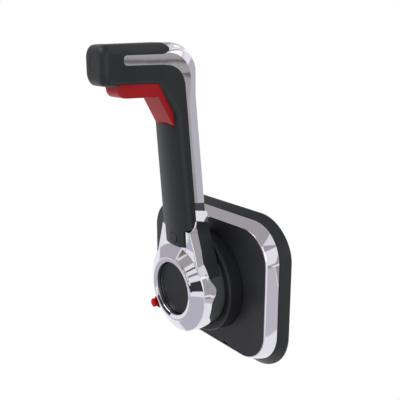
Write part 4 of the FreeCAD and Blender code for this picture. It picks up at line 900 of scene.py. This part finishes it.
def hubDisc():
    # Flange, side, rounded edge and a face that is set in a little
    h, r, d, middle = hub, hub["discRadius"], hub["discDepth"], 0.01
    profile = [(middle, d - h["flange"][0]), (r + h["flangeWidth"], d - h["flange"][0]),
               (r + h["flangeWidth"], d - h["flange"][1]), (r, d - h["flange"][1]), (r, d),
               (r - h["dishWidth"], d), (r - h["dishWidth"] - h["dish"], d - h["dish"]),
               (middle, d - h["dish"])]
    return lathe("hubDisc", roundedLine(profile, h["discCorners"], steps=5), 160)


finishPiece(hubDisc(), "throttle_only_button", "disc_plastic", finish["discPlastic"],
            "throttle_only_button")
print("hub disc made")

plate = {
    "width": 150.0,  # the dark face inside the bright trim
    "height": 108.0,
    "corner": 26.0,
    "depth": 18.6,
    "rise": 3.0,  # how much higher and lower the outline is at the wall
    "offset": 6.4,
    "topDrop": 2.1,  # how far the foot's upper edge comes down again at the wall
    "footDepth": 7.5,  # where the foot ends and the trim begins
    "trim": [(4.2, 7.5), (1.5, 17.8), (1.0, 18.9), (0.15, 18.9), (0.15, 15.8), (-2.2, 15.8),
             (-2.2, 14.6), (-0.6, 14.6), (2.3, 7.5)],  # (outset, depth) sections
    "trimEdges": [0.5, 1.0, 0.5, 0.2, 0, 0.1, 0.1, 0.3, 0.1],
    "foot": [(9.55, 0.0), (9.55, 1.2), (4.45, 7.45), (3.0, 7.45), (3.0, 0.8), (6.0, 0.0)],
    "footEdges": [0.1, 0.8, 0.4, 0, 0, 0],
}


def rimPiece(name, section, edges):
    # A closed (outset, depth) section carried round the face's rounded rectangle, whose top and
    # bottom stand further out towards the wall
    p, perCorner = plate, 24
    profile = roundedLine(section, edges, steps=5)
    quarters = [np.linspace(q, q + 90, perCorner) for q in (0, 90, 180, 270)]
    a = np.radians(np.concatenate(quarters))[:, None]
    sideX = np.repeat([1, -1, -1, 1], perCorner)[:, None]
    sideZ = np.repeat([1, 1, -1, -1], perCorner)[:, None]
    r = p["corner"] + profile[None, :, 0]
    depth = profile[None, :, 1] + 0 * a
    rise = p["rise"] * (1 - depth / p["depth"])
    x = sideX * (p["width"] / 2 - p["corner"]) - p["offset"] + r * np.cos(a)
    z = sideZ * (p["height"] / 2 - p["corner"] + rise) + r * np.sin(a)
    points = np.stack([x, depth, z], axis=-1)
    return makeMesh(name, points, gridFaces(len(a), len(profile), True, True))


def lowerTop(obj):
    # z falls by topDrop at the wall, less with depth and not at all in front of the trim's back
    points = np.empty(3 * len(obj.data.vertices))
    obj.data.vertices.foreach_get("co", points)
    points = points.reshape(-1, 3)
    nearWall = np.clip(1 + points[:, 1] / (plate["footDepth"] * mm), 0, 1)
    share = nearWall * smoothStep(20 * mm, 60 * mm, points[:, 2])
    points[:, 2] -= plate["topDrop"] * mm * share
    obj.data.vertices.foreach_set("co", points.ravel())
    obj.data.update()


finishPiece(rimPiece("trimRing", plate["trim"], plate["trimEdges"]), "base", "chrome",
            finish["brightChrome"], "chrome_trim")
baseFoot = rimPiece("baseFoot", plate["foot"], plate["footEdges"])
baseTray = mergedCopy("base_housing", "baseTray")
for piece, replaced in ((baseFoot, ()), (baseTray, ("base_housing",))):
    lowerTop(piece)
    finishPiece(piece, "base", "dark_plastic", finish["basePlastic"], *replaced)
print("plate made")

# (radius, depth) profiles: the turret's skin stands on the cover, the drum turns in front of it
turret = {
    "skin": [(42.95, 18.0), (42.7, 28.8), (42.7, 32.15), (37.5, 32.15), (37.45, 30.4),
             (36.0, 30.35), (36.0, 29.0), (41.0, 18.0)],
    "skinCorners": [0, 8, 3.3, 0.3, 0.2, 0, 0, 0],
    "drum": [(36.25, 30.75), (36.25, 46.1), (34.0, 46.1), (34.0, 30.75)],
    "drumCorners": [0.6, 0, 0, 0.4],
}
turretLine = roundedLine(turret["skin"], turret["skinCorners"], steps=10)
finishPiece(lathe("turretSkin", turretLine, 240), "base", "housing_nylon", finish["turretPlastic"])
drumLine = resampled(roundedLine(turret["drum"], turret["drumCorners"], steps=5), 60)
# The drum's skin takes the lightened plastic, painted light for the shade it sits in behind the hub
finishPiece(lathe("drumSkin", drumLine, 240), "lever", "dark_plastic", finish["lightenedDrumPlastic"])
print("turret made")

studio = {
    "azimuth": 52.74,
    "elevation": 14.71,
    "place": (394.7, -329.74, 201.11),  # millimetres from the pivot
    "lens": 56.04,
    "floorZ": -0.26,
    "floorHalf": 6.0,
    "softLight": 0.5,
    "lampAim": (0, 0, 0.06),
    "lamps": {  # place in metres, size, watts
        "keyLight": ((-0.5, -1.1, 1.2), (1.0, 1.0), 9.0),
        "topLight": ((0.4, 0.9, 1.2), (2.4, 2.4), 8.0),
        "sideLight": ((1.3, -0.5, 0.7), (0.8, 1.2), 2.0),
    },
    "boardAim": (0, 0, 0.05),
    # glowing grey, dark and white boards that only glossy rays meet, painted reflections: streaks,
    # lines and glints drawn into the chrome and the plastics' sheen; place in metres, size, colour
    "boards": {
        "ceilingBoard": ((0.0, 0.0, 1.6), (5.0, 5.0), "#b4b0b2"),
        "floorSide": ((1.45, 0.75, -0.25), (1.0, 1.4), "#aeacaa"),
        "floorNear": ((0.72, 0.59, -0.25), (0.5, 0.62), "#aaa8a9"),
        "floorTrim": ((0.72, 0.1, -0.25), (0.5, 0.34), "#d0ced4"),
        # a white strip for a painted highlight along the grip's top rounding, and a white square
        # for a painted glint on the foot cap
        "ceilingStrip": ((0.46, 1.08, 1.5), (0.9, 0.5), "#ffffff"),
        "floorGlint": ((1.06, 0.42, -0.245), (0.3, 0.3), "#ffffff"),
        "floorBack": ((0.35, 1.6, -0.25), (1.0, 1.4), "#c9c7cb"),
        "floorUnder": ((-0.1, -0.45, -0.25), (0.9, 0.7), "#cbc9d0"),
        "wallRight": ((1.47, 1.03, 0.3), (1.2, 1.12), "#b5b3b1"),
        # a dark brown line painted into the reflection along the grip's bright prong
        "wallRightLine": ((1.45, 1.01, 0.116), (1.2, 0.011), "#3a3028"),
        "wallBack": ((0.7, 1.66, 0.3), (1.15, 1.12), "#c9c7cb"),
        # dark, blue, olive and grey strips painted as streaks into the chrome's reflections
        "frontDark": ((-0.2, -1.25, -0.13), (1.8, 0.28), "#3e3b43"),
        "slatBlue": ((-0.2, -1.3, 0.17), (1.5, 0.05), "#8a94a6"),
        "slatDark": ((-0.2, -1.3, 0.29), (1.5, 0.03), "#4a464e"),
        "slatGrey": ((-0.2, -1.3, 0.43), (1.5, 0.12), "#b0acaa"),
        "slatOlive": ((-0.2, -1.3, 0.55), (1.5, 0.09), "#7b7768"),
        "slatPale": ((-0.5, -1.35, 0.8), (2.4, 0.34), "#c0bcc2"),
        "leftGrey": ((-1.75, -0.75, 0.6), (1.8, 1.5), "#c0bcc2"),
    },
}


def makeCamera():
    # It looks level turned by the azimuth, and down by the elevation
    az, el = math.radians(studio["azimuth"]), math.radians(studio["elevation"])
    level = math.cos(el)
    forward = Vector((-math.sin(az) * level, math.cos(az) * level, -math.sin(el)))
    data = bpy.data.cameras.new("camera")
    data.lens = studio["lens"]
    data.sensor_width = 36.0
    data.clip_start = 0.01
    camera = addObject("camera", data)
    camera.location = (Vector(studio["place"]) + Vector((pivotX, 0, 0))) * mm
    camera.rotation_euler = forward.to_track_quat("-Z", "Y").to_euler()
    bpy.context.scene.camera = camera


def clearedTree(owner):
    # The empty node tree of a material or world
    owner.use_nodes = True
    owner.node_tree.nodes.clear()
    return owner.node_tree


def flatSheet(name, corners, material):
    mesh = bpy.data.meshes.new(name)
    mesh.from_pydata(corners, [], [(0, 1, 2, 3)])
    mesh.materials.append(material)
    obj = addObject(name, mesh)
    return obj


def seenWhite(tree, outKind, soft, white):
    # White for the camera, in mirrors and through glass, and the soft shader for all other light
    path = addNode(tree, "ShaderNodeLightPath")
    seen = path.outputs["Is Camera Ray"]
    for ray in ("Is Glossy Ray", "Is Transmission Ray"):
        either = addNode(tree, "ShaderNodeMath", {"operation": "MAXIMUM"})
        tree.links.new(seen, either.inputs[0])
        tree.links.new(path.outputs[ray], either.inputs[1])
        seen = either.outputs[0]
    mix = addNode(tree, "ShaderNodeMixShader", Fac=seen)
    tree.links.new(soft.outputs[0], mix.inputs[1])
    tree.links.new(white.outputs[0], mix.inputs[2])
    out = addNode(tree, outKind)
    tree.links.new(mix.outputs[0], out.inputs["Surface"])


def makeFloor():
    # The camera sees plain white, and the lamps' light comes back from it softly
    material = bpy.data.materials.new("paintedStudioFloor")
    tree = clearedTree(material)
    matt = addNode(tree, "ShaderNodeBsdfDiffuse", {"Color": hexColour("#e8e8e8")})
    glow = addNode(tree, "ShaderNodeEmission", {"Color": (1, 1, 1, 1), "Strength": 1.0})
    seenWhite(tree, "ShaderNodeOutputMaterial", matt, glow)
    size, z = studio["floorHalf"], studio["floorZ"]
    corners = [(-size, -size, z), (size, -size, z), (size, size, z), (-size, size, z)]
    flatSheet("floor", corners, material)


def makeWorld():
    # White behind everything, with a softer light than it shows
    world = bpy.data.worlds.new("studio")
    bpy.context.scene.world = world
    tree = clearedTree(world)
    soft, white = (addNode(tree, "ShaderNodeBackground", {"Color": (1, 1, 1, 1), "Strength": power})
                   for power in (studio["softLight"], 1.0))
    seenWhite(tree, "ShaderNodeOutputWorld", soft, white)


def makeBoards():
    # Each board faces the object and glows; only glossy rays meet it, so it paints reflections and
    # glints into glossy surfaces without lighting or hiding a piece
    for name, (place, (wide, high), grey) in studio["boards"].items():
        material = bpy.data.materials.new(name + "Paint")
        tree = clearedTree(material)
        paint = addNode(tree, "ShaderNodeEmission", {"Color": hexColour(grey), "Strength": 1.0})
        out = addNode(tree, "ShaderNodeOutputMaterial")
        tree.links.new(paint.outputs[0], out.inputs["Surface"])
        centre = Vector(place)
        across, up = Vector((1, 0, 0)), Vector((0, 1, 0))
        if not name.startswith(("ceiling", "floor")):
            up = Vector((0, 0, 1))
            across = (Vector(studio["boardAim"]) - centre).cross(up).normalized()
        corners = [centre + across * (sx * wide / 2) + up * (sz * high / 2)
                   for sx, sz in ((-1, -1), (1, -1), (1, 1), (-1, 1))]
        board = flatSheet(name, [tuple(c) for c in corners], material)
        for kind in ("camera", "diffuse", "transmission", "volume_scatter", "shadow"):
            setattr(board, "visible_" + kind, False)


def makeLamps():
    # Each lamp is turned towards the lever
    for name, (place, size, power) in studio["lamps"].items():
        data = bpy.data.lights.new(name, "AREA")
        data.shape = "RECTANGLE"
        data.size, data.size_y = size
        data.energy = power
        lamp = addObject(name, data)
        lamp.location = Vector(place)
        aim = Vector(studio["lampAim"]) - lamp.location
        lamp.rotation_euler = aim.to_track_quat("-Z", "Y").to_euler()


makeCamera()
makeFloor()
makeWorld()
makeBoards()
makeLamps()
bpy.context.scene.view_settings.view_transform = "Standard"
print("scene ready")
